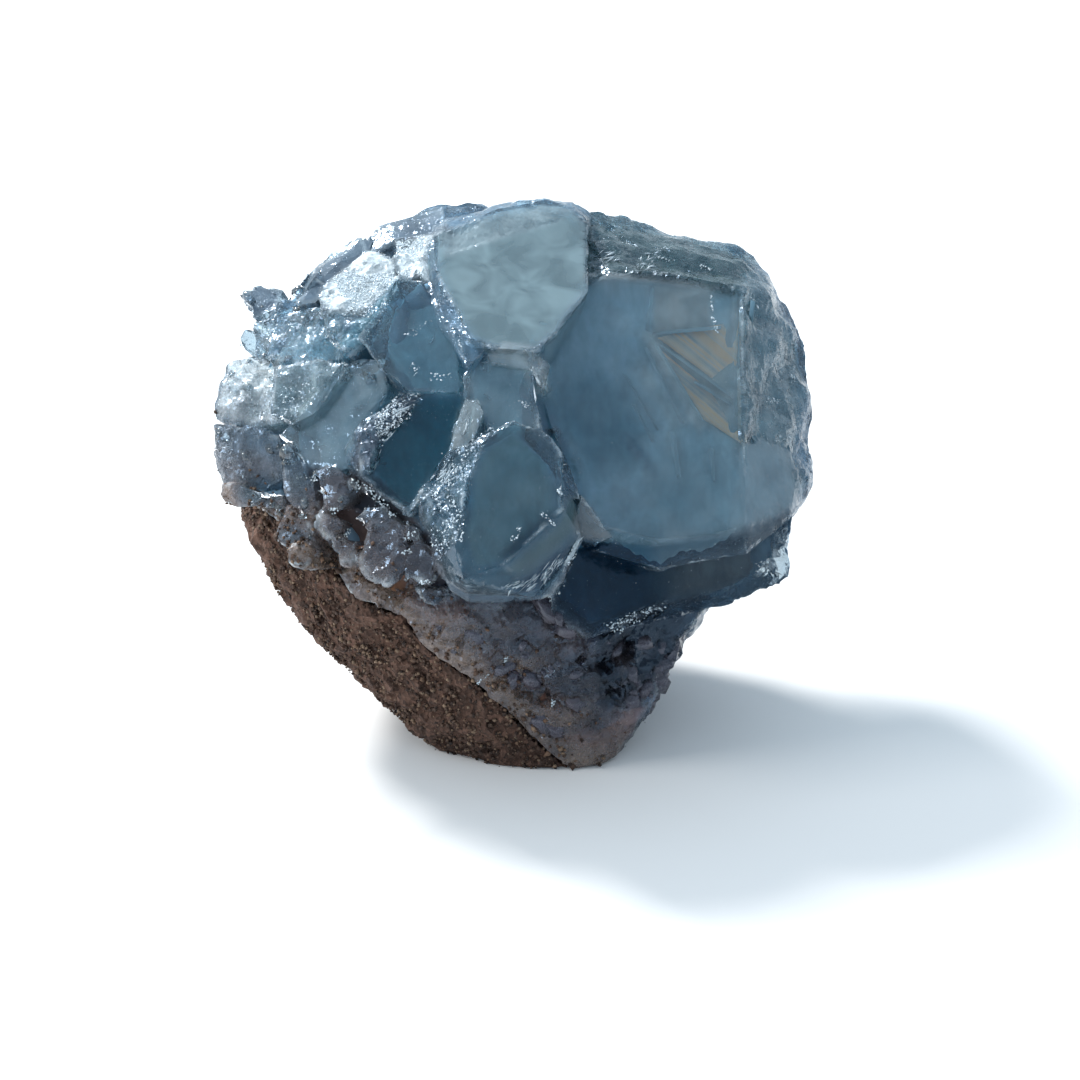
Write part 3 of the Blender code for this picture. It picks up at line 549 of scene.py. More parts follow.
def edge_distance(points, triangles, labels, steps):
    """How far each point is from a facet's border, along the mesh's edges and up to so many of them."""
    sides = np.sort(triangles[:, [[0, 1], [1, 2], [2, 0]]].reshape(-1, 2), axis=1)
    order = np.lexsort((sides[:, 1], sides[:, 0]))
    owner = np.repeat(labels, 3)[order].reshape(-1, 2)
    ends = sides[order][::2]
    border = ends[owner[:, 0] != owner[:, 1]]
    length = np.linalg.norm(points[ends[:, 0]] - points[ends[:, 1]], axis=1)
    distance = np.full(len(points), FAR_OFF)
    distance[border.ravel()] = 0.0
    for _ in range(steps):
        forward = distance[ends[:, 0]] + length
        backward = distance[ends[:, 1]] + length
        np.minimum.at(distance, ends[:, 1], forward)
        np.minimum.at(distance, ends[:, 0], backward)
    return distance


def new_mesh(name, points, triangles):
    """A Blender mesh in the frame's metres from points in millimetres and triangles."""
    mesh = bpy.data.meshes.new(name)
    mesh.vertices.add(len(points))
    mesh.vertices.foreach_set("co", in_frame(points).astype(np.float32).ravel())
    mesh.loops.add(triangles.size)
    mesh.loops.foreach_set("vertex_index", triangles.astype(np.int32).ravel())
    mesh.polygons.add(len(triangles))
    mesh.polygons.foreach_set("loop_start", np.arange(0, triangles.size, 3, dtype=np.int32))
    mesh.update(calc_edges=True)
    return mesh


def colour_attribute(mesh, name, colours):
    """A linear colour for each point."""
    attribute = mesh.attributes.new(name, "FLOAT_COLOR", "POINT")
    filled = np.concatenate([colours, np.ones((len(colours), 1))], axis=1)
    attribute.data.foreach_set("color", filled.astype(np.float32).ravel())


def number_attribute(mesh, name, values, domain="POINT"):
    """A number for each point or corner."""
    attribute = mesh.attributes.new(name, "FLOAT", domain)
    attribute.data.foreach_set("value", values.astype(np.float32))


def new_piece(name, shape, material, sharp_from=None):
    """A visible piece on the root body, whose shape is a mesh, or points and triangles.

    Edges over sharp_from degrees stay sharp, and without it none does.
    """
    mesh = new_mesh(name, *shape) if isinstance(shape, tuple) else shape
    item = bpy.data.objects.new(name, mesh)
    bpy.context.scene.collection.objects.link(item)
    mesh.materials.append(material)
    if sharp_from is not None:
        mesh.shade_smooth()
        mesh.set_sharp_from_angle(angle=math.radians(sharp_from))
    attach(item, "root")
    return item


def crust_distance(points):
    """How far each point lies outside the ball that parts the crust from the celestite."""
    return np.linalg.norm(points - BALL_MIDDLE, axis=1) - BALL_RADIUS


def root_share(points):
    """1 on the broken root, 0 on the crystals: the root lies low on the drawing or far behind it."""
    across, up, toward = drawn(points)
    low = soft_step(-up, 9.0, 12.0) * (1.0 - soft_step(across, 3.0, 9.0) * soft_step(up, -14.0, -12.0))
    behind = soft_step(-toward - 0.25 * up, 6.0, 11.0)
    return np.maximum(low, behind)


def look_of(code, milk, broken, reach):
    """A look as six numbers: the linear colour, then the other three."""
    return np.array([*linear(code), milk, broken, reach])


def mottle(points, look, root):
    """Makes a look uneven: its colour times e to the power of noise in patches, or in columns on the root.

    On the root the hue also goes to and fro between bluish and rosy, and the palest patches are milkier.
    """
    mottled = 0.6 * waves(points, 1.8, SEED + 70) + 0.5 * waves(points, 0.8, SEED + 71)
    mottled += 0.3 * waves(points, 4.0, SEED + 72)
    drawn_out = waves(columns(points), 1.6, SEED + 74) + 0.6 * waves(columns(points), 0.7, SEED + 75)
    mottled += (drawn_out - mottled) * root
    uneven = np.exp((0.15 + 1.1 * np.clip(look[:, 4] - 0.1, 0.0, 0.5) + 0.4 * root) * mottled)
    warm = (0.5 + 0.5 * waves(points, 2.6, SEED + 73))[:, None]
    bluish, rosy = np.array((-0.25, 0.0, 0.2)), np.array((0.45, 0.02, -0.15))
    look[:, :3] *= uneven[:, None] * (1.0 + (bluish * (1.0 - warm) + rosy * warm) * root[:, None])
    look[:, 3] += 0.2 * soft_step(mottled, 0.2, 0.9) * root


def painted(points, normals, blend):
    """Colour, milk, brokenness and reach of the faces, and how far off the nearest outline each point is.

    Each outline's look is laid on over blend mm, where the surface looks at the eye. Sand stains what is near
    the crust and is caked on at the seam: both weights fall as e to the power of minus distance over width.
    """
    across, up, toward = drawn(points)
    facing = soft_step(normals @ TOWARD_EYE, -0.15, 0.15) * soft_step(toward, -12.0, -6.0)
    plain, rooty, sand, cake = (look_of(*look) for look in (ELSEWHERE, ROOT_LOOK, SANDY_LOOK, CAKED_LOOK))
    root = root_share(points)
    look = plain + (rooty - plain) * root[:, None]
    border = np.full(len(points), FAR_OFF)
    for name, (outline, *face_look) in FACES.items():
        depth = inside_by(across, up, outline)
        soft = max(blend, SOFT_FACES.get(name, 0.0))
        weight = soft_step(depth, -soft, soft) * facing
        look += (look_of(*face_look) - look) * weight[:, None]
        border = np.minimum(border, np.where(facing > 0.0, np.abs(depth), FAR_OFF))
    mottle(points, look, root)
    away = np.maximum(crust_distance(points) - 0.3, 0.0)
    sandy = np.clip(np.exp(-away / SANDY_WIDTH) * (1.0 + 1.2 * waves(points, 2.2, SEED + 40)), 0.0, 1.0)
    look += (sand - look) * sandy[:, None]
    caked = np.exp(-(away + 0.5 * waves(points, 0.9, SEED + 41) ** 2) / CAKED_WIDTH)
    look += (cake - look) * caked[:, None]
    return look[:, :3], look[:, 3], look[:, 4], look[:, 5], border


def add(tree, kind, settings=None, links=None):
    """One node with its settings, by input or property name, and its links from outputs, by input name."""
    node = tree.nodes.new("ShaderNode" + kind)
    for name, value in (settings or {}).items():
        if isinstance(name, str) and hasattr(node, name):
            setattr(node, name, value)
        else:
            node.inputs[name].default_value = value
    for name, source in (links or {}).items():
        tree.links.new(source, node.inputs[name])
    return node


def new_material(name):
    """An empty material and its node tree."""
    material = bpy.data.materials.new(name)
    material.use_nodes = True
    material.node_tree.nodes.clear()
    return material, material.node_tree


def finished(material, shader, volume=None):
    """The material, with its shader and its volume, if it has one, linked to an output."""
    links = {"Surface": shader.outputs[0]}
    if volume:
        links["Volume"] = volume.outputs[0]
    add(material.node_tree, "OutputMaterial", None, links)
    return material


def in_millimetres(tree):
    """The mesh's own coordinates in millimetres, so that a pattern's scale is one over its size in them."""
    place = add(tree, "TexCoord").outputs["Object"]
    return add(tree, "VectorMath", {"operation": "SCALE", "Scale": 1000.0}, {0: place}).outputs[0]


def chip_height(tree, place, size):
    """The height in mm of flats with random slopes, one for each cell about size mm wide."""
    cells = add(tree, "TexVoronoi", {"Scale": 1.0 / size}, {"Vector": place})
    away = add(tree, "VectorMath", {"operation": "SUBTRACT"}, {0: place, 1: cells.outputs["Position"]})
    slope = add(tree, "VectorMath", {"operation": "SUBTRACT", 1: (0.5, 0.5, 0.5)},
                {0: cells.outputs["Color"]})
    height = add(tree, "VectorMath", {"operation": "DOT_PRODUCT"}, {0: away.outputs[0], 1: slope.outputs[0]})
    return height.outputs[1]


def clear_celestite():
    """Clear celestite: glassy where it grew smooth, glittering with small flats where broken, blue in depth.

    The flats are 0.4 mm wide, the etched patches that vary the gloss about 0.4 mm, the lines of growth 0.6 mm
    and the milky clouds 3 mm.
    """
    material, tree = new_material("clear_celestite")
    place = in_millimetres(tree)
    tint = add(tree, "Attribute", {"attribute_name": "tint"}).outputs["Color"]
    milk = add(tree, "Attribute", {"attribute_name": "milk"}).outputs["Fac"]
    broken = add(tree, "Attribute", {"attribute_name": "broken"}).outputs["Fac"]
    stripe = add(tree, "Attribute", {"attribute_name": "stripe"}).outputs["Fac"]
    warp = add(tree, "TexNoise", {"Scale": 0.8, "Detail": 2.0}, {"Vector": place})
    bent = add(tree, "VectorMath", {"operation": "MULTIPLY_ADD", 1: (1.5, 1.5, 1.5)},
               {0: warp.outputs["Color"], 2: place}).outputs[0]
    etched = add(tree, "TexNoise", {"Scale": 2.6, "Detail": 3.0, "Roughness": 0.68}, {"Vector": place})
    patchy = add(tree, "MapRange", {"From Min": 0.4, "From Max": 0.65, "To Min": 0.25, "To Max": 0.6},
                 {"Value": etched.outputs["Fac"]})
    rough = add(tree, "Math", {"operation": "MULTIPLY_ADD", 2: 0.03, "use_clamp": True},
                {0: patchy.outputs[0], 1: broken})
    milky = add(tree, "TexNoise", {"Scale": 0.35, "Detail": 2.0, "Roughness": 0.5, "Distortion": 0.6},
                {"Vector": place})
    cloud = add(tree, "MapRange", {"From Min": 0.35, "From Max": 0.7, "To Min": 0.7, "To Max": 1.3},
                {"Value": milky.outputs["Fac"]})
    less = add(tree, "Math", {"operation": "MULTIPLY", 1: -1.0}, {0: cloud.outputs[0]})
    clear = add(tree, "Math", {"operation": "MULTIPLY_ADD", 2: 1.0, "use_clamp": True},
                {0: milk, 1: less.outputs[0]})
    lines = add(tree, "TexNoise", {"noise_dimensions": "1D", "Scale": 1.6, "Detail": 2.0, "Roughness": 0.7},
                {"W": stripe})
    grown = add(tree, "Bump", {"Distance": 0.0002, "Strength": 0.1}, {"Height": lines.outputs["Fac"]})
    strength = add(tree, "Math", {"operation": "MULTIPLY_ADD", 1: 0.65, 2: 0.015}, {0: broken})
    flats = add(tree, "Bump", {"Distance": 0.001},
                {"Height": chip_height(tree, bent, 0.4), "Strength": strength.outputs[0],
                 "Normal": grown.outputs[0]})
    shader = add(tree, "BsdfPrincipled", {"IOR": CELESTITE_IOR, "Specular Tint": (0.38, 0.58, 0.85, 1.0)},
                 {"Base Color": tint, "Roughness": rough.outputs[0], "Transmission Weight": clear.outputs[0],
                  "Normal": flats.outputs[0]})
    soaked = -np.log(np.array(LETS_THROUGH)) / CLEAR_DEPTH
    density = float(soaked.max()) * 1.05
    volume = add(tree, "VolumeAbsorption", {"Color": (*(1.0 - soaked / density), 1.0), "Density": density})
    return finished(material, shader, volume)


def cloudy_celestite():
    """Massive celestite under the crystals: cloudy, with pale veins and dark gaps radiating from the heart.

    Where the veined attribute is 1, shards of 1 to 2 mm have a tone of their own each and pale seams between
    them, and the hue drifts from bluish to rosy over about 5 mm. Faint wisps lie at a slant everywhere.
    """
    material, tree = new_material("cloudy_celestite")
    place = in_millimetres(tree)
    paint = add(tree, "Attribute", {"attribute_name": "paint"}).outputs["Color"]
    veined = add(tree, "Attribute", {"attribute_name": "veined"}).outputs["Fac"]
    out = add(tree, "VectorMath", {"operation": "SUBTRACT", 1: tuple(STANDS_AT + HEART)}, {0: place})
    ray = add(tree, "VectorMath", {"operation": "NORMALIZE"}, {0: out.outputs[0]})
    columns = add(tree, "TexNoise", {"Scale": 9.0, "Detail": 3.0, "Roughness": 0.65},
                  {"Vector": ray.outputs[0]})
    cloud = add(tree, "TexNoise", {"Scale": 0.3, "Detail": 5.0, "Roughness": 0.6, "Distortion": 0.8},
                {"Vector": place})
    far = add(tree, "VectorMath", {"operation": "LENGTH"}, {0: out.outputs[0]})
    stretch = add(tree, "VectorMath", {"operation": "SCALE", 0: (0.2, 0.2, 0.2)},
                  {"Scale": far.outputs["Value"]})
    spot = add(tree, "VectorMath", {"operation": "MULTIPLY_ADD", 1: (16.0, 16.0, 16.0)},
               {0: ray.outputs[0], 2: stretch.outputs[0]})
    bent = add(tree, "TexNoise", {"Scale": 0.9, "Detail": 3.0}, {"Vector": place})
    warped = add(tree, "VectorMath", {"operation": "MULTIPLY_ADD", 1: (0.9, 0.9, 0.9)},
                 {0: bent.outputs["Color"], 2: spot.outputs[0]})
    shards = add(tree, "TexVoronoi", {"Scale": 0.75}, {"Vector": warped.outputs[0]})
    shard_tone = add(tree, "SeparateColor", None, {0: shards.outputs["Color"]})
    shard = add(tree, "MapRange", {"To Min": 0.45, "To Max": 1.6}, {"Value": shard_tone.outputs[0]})
    seams = add(tree, "TexVoronoi", {"feature": "DISTANCE_TO_EDGE", "Scale": 0.75},
                {"Vector": warped.outputs[0]})
    seam = add(tree, "MapRange", {"From Max": 0.08, "To Min": 1.5, "To Max": 1.0},
               {"Value": seams.outputs["Distance"]})
    edged = add(tree, "Math", {"operation": "MULTIPLY"}, {0: shard.outputs[0], 1: seam.outputs[0]})
    both = add(tree, "Math", {"operation": "MULTIPLY"}, {0: columns.outputs["Fac"], 1: cloud.outputs["Fac"]})
    light = add(tree, "MapRange", {"From Min": 0.16, "From Max": 0.36, "To Min": 0.5, "To Max": 1.6},
                {"Value": both.outputs[0]})
    cut = add(tree, "Math", {"operation": "MULTIPLY"}, {0: light.outputs[0], 1: edged.outputs[0]})
    level = add(tree, "Mix", {"data_type": "FLOAT", "A": 1.0}, {"Factor": veined, "B": cut.outputs[0]})
    drawn_out = add(tree, "Mapping", {"Rotation": (0.0, math.radians(-32.0), 0.0), "Scale": (1.6, 1.0, 0.16)},
                    {"Vector": place})
    wisps = add(tree, "TexNoise", {"Scale": 0.55, "Detail": 4.0, "Roughness": 0.6, "Distortion": 0.3},
                {"Vector": drawn_out.outputs[0]})
    wispy = add(tree, "MapRange", {"From Min": 0.35, "From Max": 0.65, "To Min": 0.86, "To Max": 1.14},
                {"Value": wisps.outputs["Fac"]})
    both_levels = add(tree, "Math", {"operation": "MULTIPLY"}, {0: level.outputs[0], 1: wispy.outputs[0]})
    hue = add(tree, "TexNoise", {"Scale": 0.22, "Detail": 4.0}, {"Vector": place})
    lilac = add(tree, "Mix", {"data_type": "RGBA", 6: (0.72, 1.0, 1.35, 1.0), 7: (1.25, 0.98, 0.9, 1.0)},
                {0: hue.outputs["Fac"]})
    tinged = add(tree, "Mix", {"data_type": "RGBA", 6: (1.0, 1.0, 1.0, 1.0)},
                 {0: veined, 7: lilac.outputs[2]})
    stained = add(tree, "VectorMath", {"operation": "MULTIPLY"}, {0: paint, 1: tinged.outputs[2]})
    shade = add(tree, "VectorMath", {"operation": "SCALE"},
                {0: stained.outputs[0], "Scale": both_levels.outputs[0]})
    shader = add(tree, "BsdfPrincipled", {"Roughness": 0.6, "IOR": 1.1}, {"Base Color": shade.outputs[0]})
    return finished(material, shader)


def sandy_matrix():
    """Sandy marl: dull, granular and brown, with grains of other tones 0.4 mm wide and 3 mm dirt patches."""
    material, tree = new_material("sandy_matrix")
    place = in_millimetres(tree)
    grain = add(tree, "TexVoronoi", {"Scale": 2.5}, {"Vector": place})
    dirt = add(tree, "TexNoise", {"Scale": 0.35, "Detail": 6.0}, {"Vector": place})
    browns = {6: (*linear("#6b4f42"), 1.0), 7: (*linear("#33231c"), 1.0)}
    mixed = add(tree, "Mix", {"data_type": "RGBA", **browns}, {0: dirt.outputs["Fac"]})
    tone = add(tree, "SeparateColor", None, {0: grain.outputs["Color"]})
    level = add(tree, "MapRange", {"To Min": 0.5, "To Max": 1.5}, {"Value": tone.outputs[0]})
    speck = add(tree, "VectorMath", {"operation": "SCALE"}, {0: mixed.outputs[2], "Scale": level.outputs[0]})
    bump = add(tree, "Bump", {"Distance": 0.0003, "Strength": 0.8}, {"Height": grain.outputs["Distance"]})
    shader = add(tree, "BsdfPrincipled", {"Roughness": 0.9},
                 {"Base Color": speck.outputs[0], "Normal": bump.outputs[0]})
    return finished(material, shader)


def sand_grains():
    """Grains of quartz, lime and iron-stained sand: dull, each with its own tone from the tone attribute."""
    material, tree = new_material("sand_grains")
    tone = add(tree, "Attribute", {"attribute_name": "tone"}).outputs["Color"]
    shader = add(tree, "BsdfPrincipled", {"Roughness": 0.75}, {"Base Color": tone})
    return finished(material, shader)


def white_sugar():
    """Crushed celestite, white because each grain scatters the light between its faces; its flats glint."""
    material, tree = new_material("white_sugar")
    shader = add(tree, "BsdfPrincipled",
                 {"Base Color": (*linear("#cfdde6"), 1.0), "Roughness": 0.2, "IOR": CELESTITE_IOR})
    return finished(material, shader)


def clear_druse():
    """The small crystals: clear, nearly colourless celestite with bright faces."""
    material, tree = new_material("clear_druse")
    shader = add(tree, "BsdfPrincipled", {"Base Color": (0.72, 0.85, 0.93, 1.0), "IOR": CELESTITE_IOR,
                                          "Transmission Weight": 0.94, "Roughness": 0.05})
    return finished(material, shader)


def lilac_shards():
    """Broken massive celestite: grey to lilac, see-through at thin edges, with bright cleaved faces."""
    material, tree = new_material("lilac_shards")
    place = in_millimetres(tree)
    cloud = add(tree, "TexNoise", {"Scale": 0.4, "Detail": 2.0}, {"Vector": place})
    tone = add(tree, "Mix", {"data_type": "RGBA", 6: (*linear("#4c5c74"), 1.0), 7: (*linear("#9a8c94"), 1.0)},
               {0: cloud.outputs["Fac"]})
    chips = add(tree, "Bump", {"Distance": 0.001, "Strength": 0.2}, {"Height": chip_height(tree, place, 0.5)})
    shader = add(tree, "BsdfPrincipled",
                 {"IOR": CELESTITE_IOR, "Transmission Weight": 0.75, "Roughness": 0.2,
                  "Specular Tint": (0.6, 0.7, 0.85, 1.0)},
                 {"Base Color": tone.outputs[2], "Normal": chips.outputs[0]})
    return finished(material, shader)


def air_film():
    """Air in a healed crack: it mirrors at a slant, where light can't leave the crystal."""
    material, tree = new_material("air_film")
    shader = add(tree, "BsdfPrincipled", {"Base Color": (1.0, 1.0, 1.0, 1.0), "IOR": 1.0 / CELESTITE_IOR,
                                          "Transmission Weight": 1.0, "Roughness": 0.08})
    return finished(material, shader)


def clear_lip():
    """The block's thin lower edge: milky celestite that passes some light, with a soft gloss. Its tones are
    painted
    light: brighter than the stone, as little light reaches it from the front.
    """
    material, tree = new_material("clear_lip")
    place = in_millimetres(tree)
    cloud = add(tree, "TexNoise", {"Scale": 0.9, "Detail": 5.0, "Roughness": 0.6}, {"Vector": place})
    # Pale tones: painted light for a front that gets little light
    tone = add(tree, "Mix", {"data_type": "RGBA", 6: (*linear("#84a6b4"), 1.0), 7: (*linear("#b4cedb"), 1.0)},
               {0: cloud.outputs["Fac"]})
    chips = add(tree, "Bump", {"Distance": 0.001, "Strength": 0.15},
                {"Height": chip_height(tree, place, 0.7)})
    shader = add(tree, "BsdfPrincipled", {"IOR": 1.2, "Transmission Weight": 0.25, "Roughness": 0.25},
                 {"Base Color": tone.outputs[2], "Normal": chips.outputs[0]})
    return finished(material, shader)


def milky_veil():
    """A healed cleavage full of fine fluid bubbles: pale and soft."""
    material, tree = new_material("milky_veil")
    shader = add(tree, "BsdfPrincipled",
                 {"IOR": 1.1, "Roughness": 0.6, "Base Color": (*linear("#93b3c2"), 1.0)})
    return finished(material, shader)


def stained_cleavage():
    """An open cleavage with a film of iron stain: tan and golden brown in straight bands."""
    material, tree = new_material("stained_cleavage")
    place = in_millimetres(tree)
    turned_to = add(tree, "VectorMath", {"operation": "DOT_PRODUCT", 1: (0.62, 0.2, 0.75)}, {0: place})
    bands = add(tree, "TexNoise", {"noise_dimensions": "1D", "Scale": 1.1, "Detail": 4.0, "Roughness": 0.6},
                {"W": turned_to.outputs[1]})
    patches = add(tree, "TexNoise", {"Scale": 0.5, "Detail": 4.0}, {"Vector": place})
    both = add(tree, "Math", {"operation": "MULTIPLY_ADD", 1: 0.35},
               {0: patches.outputs["Fac"], 2: bands.outputs["Fac"]})
    ramp = add(tree, "ValToRGB", None, {"Fac": both.outputs[0]})
    stops = ((0.46, "#9aa4a6"), (0.6, "#d8c2ab"), (0.76, "#f0c090"), (0.9, "#c4c0b8"))
    for index, (stop, code) in enumerate(stops):
        mark = ramp.color_ramp.elements[index] if index < 2 else ramp.color_ramp.elements.new(stop)
        mark.position = stop
        mark.color = (*linear(code), 1.0)
    shader = add(tree, "BsdfPrincipled", {"IOR": 1.1, "Roughness": 0.6},
                 {"Base Color": ramp.outputs["Color"]})
    return finished(material, shader)


def rounded(points, triangles, share, times):
    """Corners and edges worn down by share: each point moves to the mean of its neighbours, times over."""
    for _ in range(times):
        points = points + (spread(points, points, triangles, 1) - points) * share[:, None]
    return points


def above_floor(points):
    """Each point's height in mm above the plane that the cluster rests on."""
    return points[:, 2] + STANDS_AT[2]


def hollow_by(points, triangles, normals, times):
    """How far a point's neighbours stand out beyond it along its normal: over 0 in creases, less on edges."""
    return ((spread(points, points, triangles, times) - points) * normals).sum(axis=1)


def detailed_surface():
    """The celestite's surface: fine triangles on broken faces and at borders, coarser ones elsewhere."""
    points, triangles = merged_copy("celestite")
    labels = facet_labels(points, triangles)
    points, triangles, labels = split_long_edges(points, triangles, labels, np.full(len(points), PLAIN_EDGE))
    _, _, broken, _, border = painted(points, point_normals(points, triangles), FACE_BLEND)
    crystal = 1.0 - root_share(points)
    near = edge_distance(points, triangles, labels, 2) < 0.5
    detail = ((broken > 0.5) | near | (border < 0.5)) & (crystal > 0.5)
    longest = np.where(detail, FINE_EDGE, PLAIN_EDGE)
    longest[crystal < 0.5] = 0.5 * (FINE_EDGE + PLAIN_EDGE)
    return split_long_edges(points, triangles, labels, longest)


def skin_relief(points, broken, chips, root, lumpy, seam):
    """How far each point of the skin moves along its normal, as a sum of noises of the sizes given in mm.

    Broken faces get small flats and a soft swell, the root gets slabs in columns and the lobes get knobs.
    Chips are sunk. At the seam to the crust there is less of all that, and fine chipping instead.
    """
    wander = points + 0.4 * waves(points, 1.5, SEED + 3)[:, None]
    flats = chipped(wander, 1.4, SEED + 10) * 0.35 + chipped(wander, 0.6, SEED + 17) * 0.3
    slabs = chipped(columns(points), 2.4, SEED + 24) * 0.6 + chipped(wander, 1.1, SEED + 31) * 0.4
    knobs = waves(points, 1.5, SEED + 12) * 0.35 + chipped(wander, 1.2, SEED + 13) * 0.4
    swell = waves(points, 2.6, SEED + 5) * 0.7 + waves(points, 1.1, SEED + 9) * 0.25
    height = flats * soft_step(broken, 0.25, 0.9) * (1.0 - root) + slabs * root - 0.15 * chips + knobs * lumpy
    height = height + swell * soft_step(broken, 0.25, 0.5) * (1.0 - root)
    return height * (1.0 - 0.6 * seam) + (0.05 + chipped(wander, 0.8, SEED + 14) * 0.4) * seam


def stripes(points, triangles, labels):
    """Each corner's distance along its facet's own random direction, which lines of growth cross."""
    cells = [np.stack([labels, labels * 0 + axis, labels * 0], axis=1) for axis in range(3)]
    directions = unit(np.stack([chance_at(cell, SEED) - 0.5 for cell in cells], axis=1))
    return np.einsum("tcx,tx->tc", points[triangles], directions).ravel()


def crystal_skin():
    """The crystals' outside: the CAD surface, refined, rounded on root and lobes, and moved along normals.

    Edges that stand out are worn: there the skin is chipped, pale and milky, and the paleness is partly a
    painted highlight along them. The tint is a share of the colour's square root, because light crosses the
    skin twice, and the share grows where it is clear.
    """
    points, triangles, labels = detailed_surface()
    root = root_share(points)
    across, up, _ = drawn(points)
    lumpy = soft_step(inside_by(across, up, FACES["lobes"][0]), -0.6, 0.4)
    seam = 1.0 - soft_step(crust_distance(points), 0.2, 1.5)
    points = rounded(points, triangles, np.maximum(0.4 * root, 0.8 * lumpy) * (1.0 - seam), 4)
    normals = point_normals(points, triangles)
    colour, milk, broken, _, _ = painted(points, normals, FACE_BLEND)
    rim = np.exp(-edge_distance(points, triangles, labels, 4) / 0.3)
    worn = rim * soft_step(-hollow_by(points, triangles, normals, 1), 0.01, 0.05) * (1.0 - root)
    chips = soft_step(waves(points, 0.8, SEED + 2), -0.2, 0.3) * worn
    # Paler, milkier chips on worn edges: wear, and partly a painted highlight along the edges
    bruise_and_highlight = (chips * (0.5 + 0.5 * waves(points, 0.5, SEED + 6)))[:, None]
    colour = colour + (linear(BRUISE_AND_HIGHLIGHT) - colour) * 0.6 * bruise_and_highlight
    height = skin_relief(points, broken, chips, root, lumpy, seam) * soft_step(above_floor(points), 0.0, 0.8)
    mesh = new_mesh("crystals", points + normals * height[:, None], triangles)
    tint = 0.04 + np.maximum(1.5 - milk[:, None], 0.9) * colour ** 0.5
    colour_attribute(mesh, "tint", np.minimum(tint, 1.0))
    number_attribute(mesh, "milk", np.clip(milk + 0.35 * bruise_and_highlight[:, 0], 0.0, 1.0))
    number_attribute(mesh, "broken", np.clip(broken + 0.4 * chips, 0.0, 1.0))
    number_attribute(mesh, "stripe", stripes(points, triangles, labels), "CORNER")
    return mesh


def even_skin(name, cell):
    """A CAD node's outside as points and triangles of an even size, through a voxel remesh of a copy."""
    source = bpy.data.objects.new("even_source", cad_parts[name].data.copy())
    bpy.context.scene.collection.objects.link(source)
    weld = source.modifiers.new("weld", "WELD")
    weld.merge_threshold = 1e-6
    even = source.modifiers.new("even", "REMESH")
    even.mode = "VOXEL"
    even.voxel_size = cell * 0.001
    shape = bpy.data.meshes.new_from_object(source.evaluated_get(bpy.context.evaluated_depsgraph_get()))
    bpy.data.objects.remove(source, do_unlink=True)
    points = np.zeros(len(shape.vertices) * 3, np.float32)
    shape.vertices.foreach_get("co", points)
    shape.calc_loop_triangles()
    triangles = np.zeros(len(shape.loop_triangles) * 3, np.int32)
    shape.loop_triangles.foreach_get("vertices", triangles)
    bpy.data.meshes.remove(shape)
    return in_cluster(points.reshape(-1, 3).astype(float)), triangles.reshape(-1, 3)


def cloudy_core():
    """The core: an even skin over the CAD body, softened where it bulges, then drawn in along its normals.

    Each face's reach says how far; where softening has moved a thin part inwards, it is drawn in less.
    """
    points, triangles = even_skin("celestite", CORE_CELL)
    colour, _, _, reach, _ = painted(points, point_normals(points, triangles), CORE_BLEND)
    veined = root_share(points)
    depth = spread((1.0 - reach)[:, None], points, triangles, 4) * CORE_DEPTH
    normals = point_normals(points, triangles)
    shift = spread(points, points, triangles, CORE_SOFTENING) - points
    outward = (shift * normals).sum(axis=1, keepdims=True)
    points = points + shift - normals * np.maximum(outward, 0.0)
    depth = depth * np.exp(np.minimum(outward, 0.0) / THIN)
    for _ in range(DRAWING_STEPS):
        points = spread(points, points, triangles, 1)
        points = points - point_normals(points, triangles) * depth / DRAWING_STEPS
    lumps = waves(points, 3.0, SEED + 20) * 0.25 + waves(points, 1.2, SEED + 21) * 0.1
    lumps += chipped(columns(points), 2.0, SEED + 22) * 0.4 * veined
    points = points + point_normals(points, triangles) * (lumps - 0.15)[:, None]
    mesh = new_mesh("cloudy_core", points, triangles)
    # The core's colour times the gain: painted light, since little light reaches it through the skin
    colour_attribute(mesh, "paint", np.minimum(colour * CORE_LIGHT_GAIN, 0.9))
    number_attribute(mesh, "veined", np.clip(0.05 + 0.95 * veined, 0.0, 1.0))
    return mesh


def scattered(points, triangles, density, count, luck):
    """Places on a surface: triangles are drawn by their area times density, and a place in each at random."""
    normals = triangle_normals(points, triangles)
    weight = np.linalg.norm(normals, axis=1) * density[triangles].mean(axis=1)
    chosen = luck.choice(len(triangles), size=count, p=weight / weight.sum())
    share = luck.random((count, 2))
    share = np.where(share.sum(axis=1, keepdims=True) > 1.0, 1.0 - share, share)
    a, b, c = (points[triangles[chosen, corner]] for corner in range(3))
    return a + (b - a) * share[:, :1] + (c - a) * share[:, 1:], unit(normals[chosen])


def turned(outward, luck):
    """A random right-handed set of axes for each outward direction, which is the third axis."""
    side = unit(np.cross(outward, luck.normal(size=outward.shape)))
    return np.stack([side, np.cross(outward, side), outward], axis=2)


TABLET_RING = np.array([(1.0, 0.0), (0.45, 1.0), (-0.45, 1.0), (-1.0, 0.0), (-0.45, -1.0), (0.45, -1.0)])
TABLET_FACES = np.array(
    [(0, 2, 1), (0, 3, 2), (0, 4, 3), (0, 5, 4)]
    + [face for side in range(6) for face in ((side, (side + 1) % 6, 6 + side),
                                              ((side + 1) % 6, 6 + (side + 1) % 6, 6 + side))]
    + [(6, 7, 12), (7, 8, 12), (8, 13, 12), (8, 9, 13), (9, 10, 13), (10, 11, 13), (11, 12, 13), (11, 6, 12)])


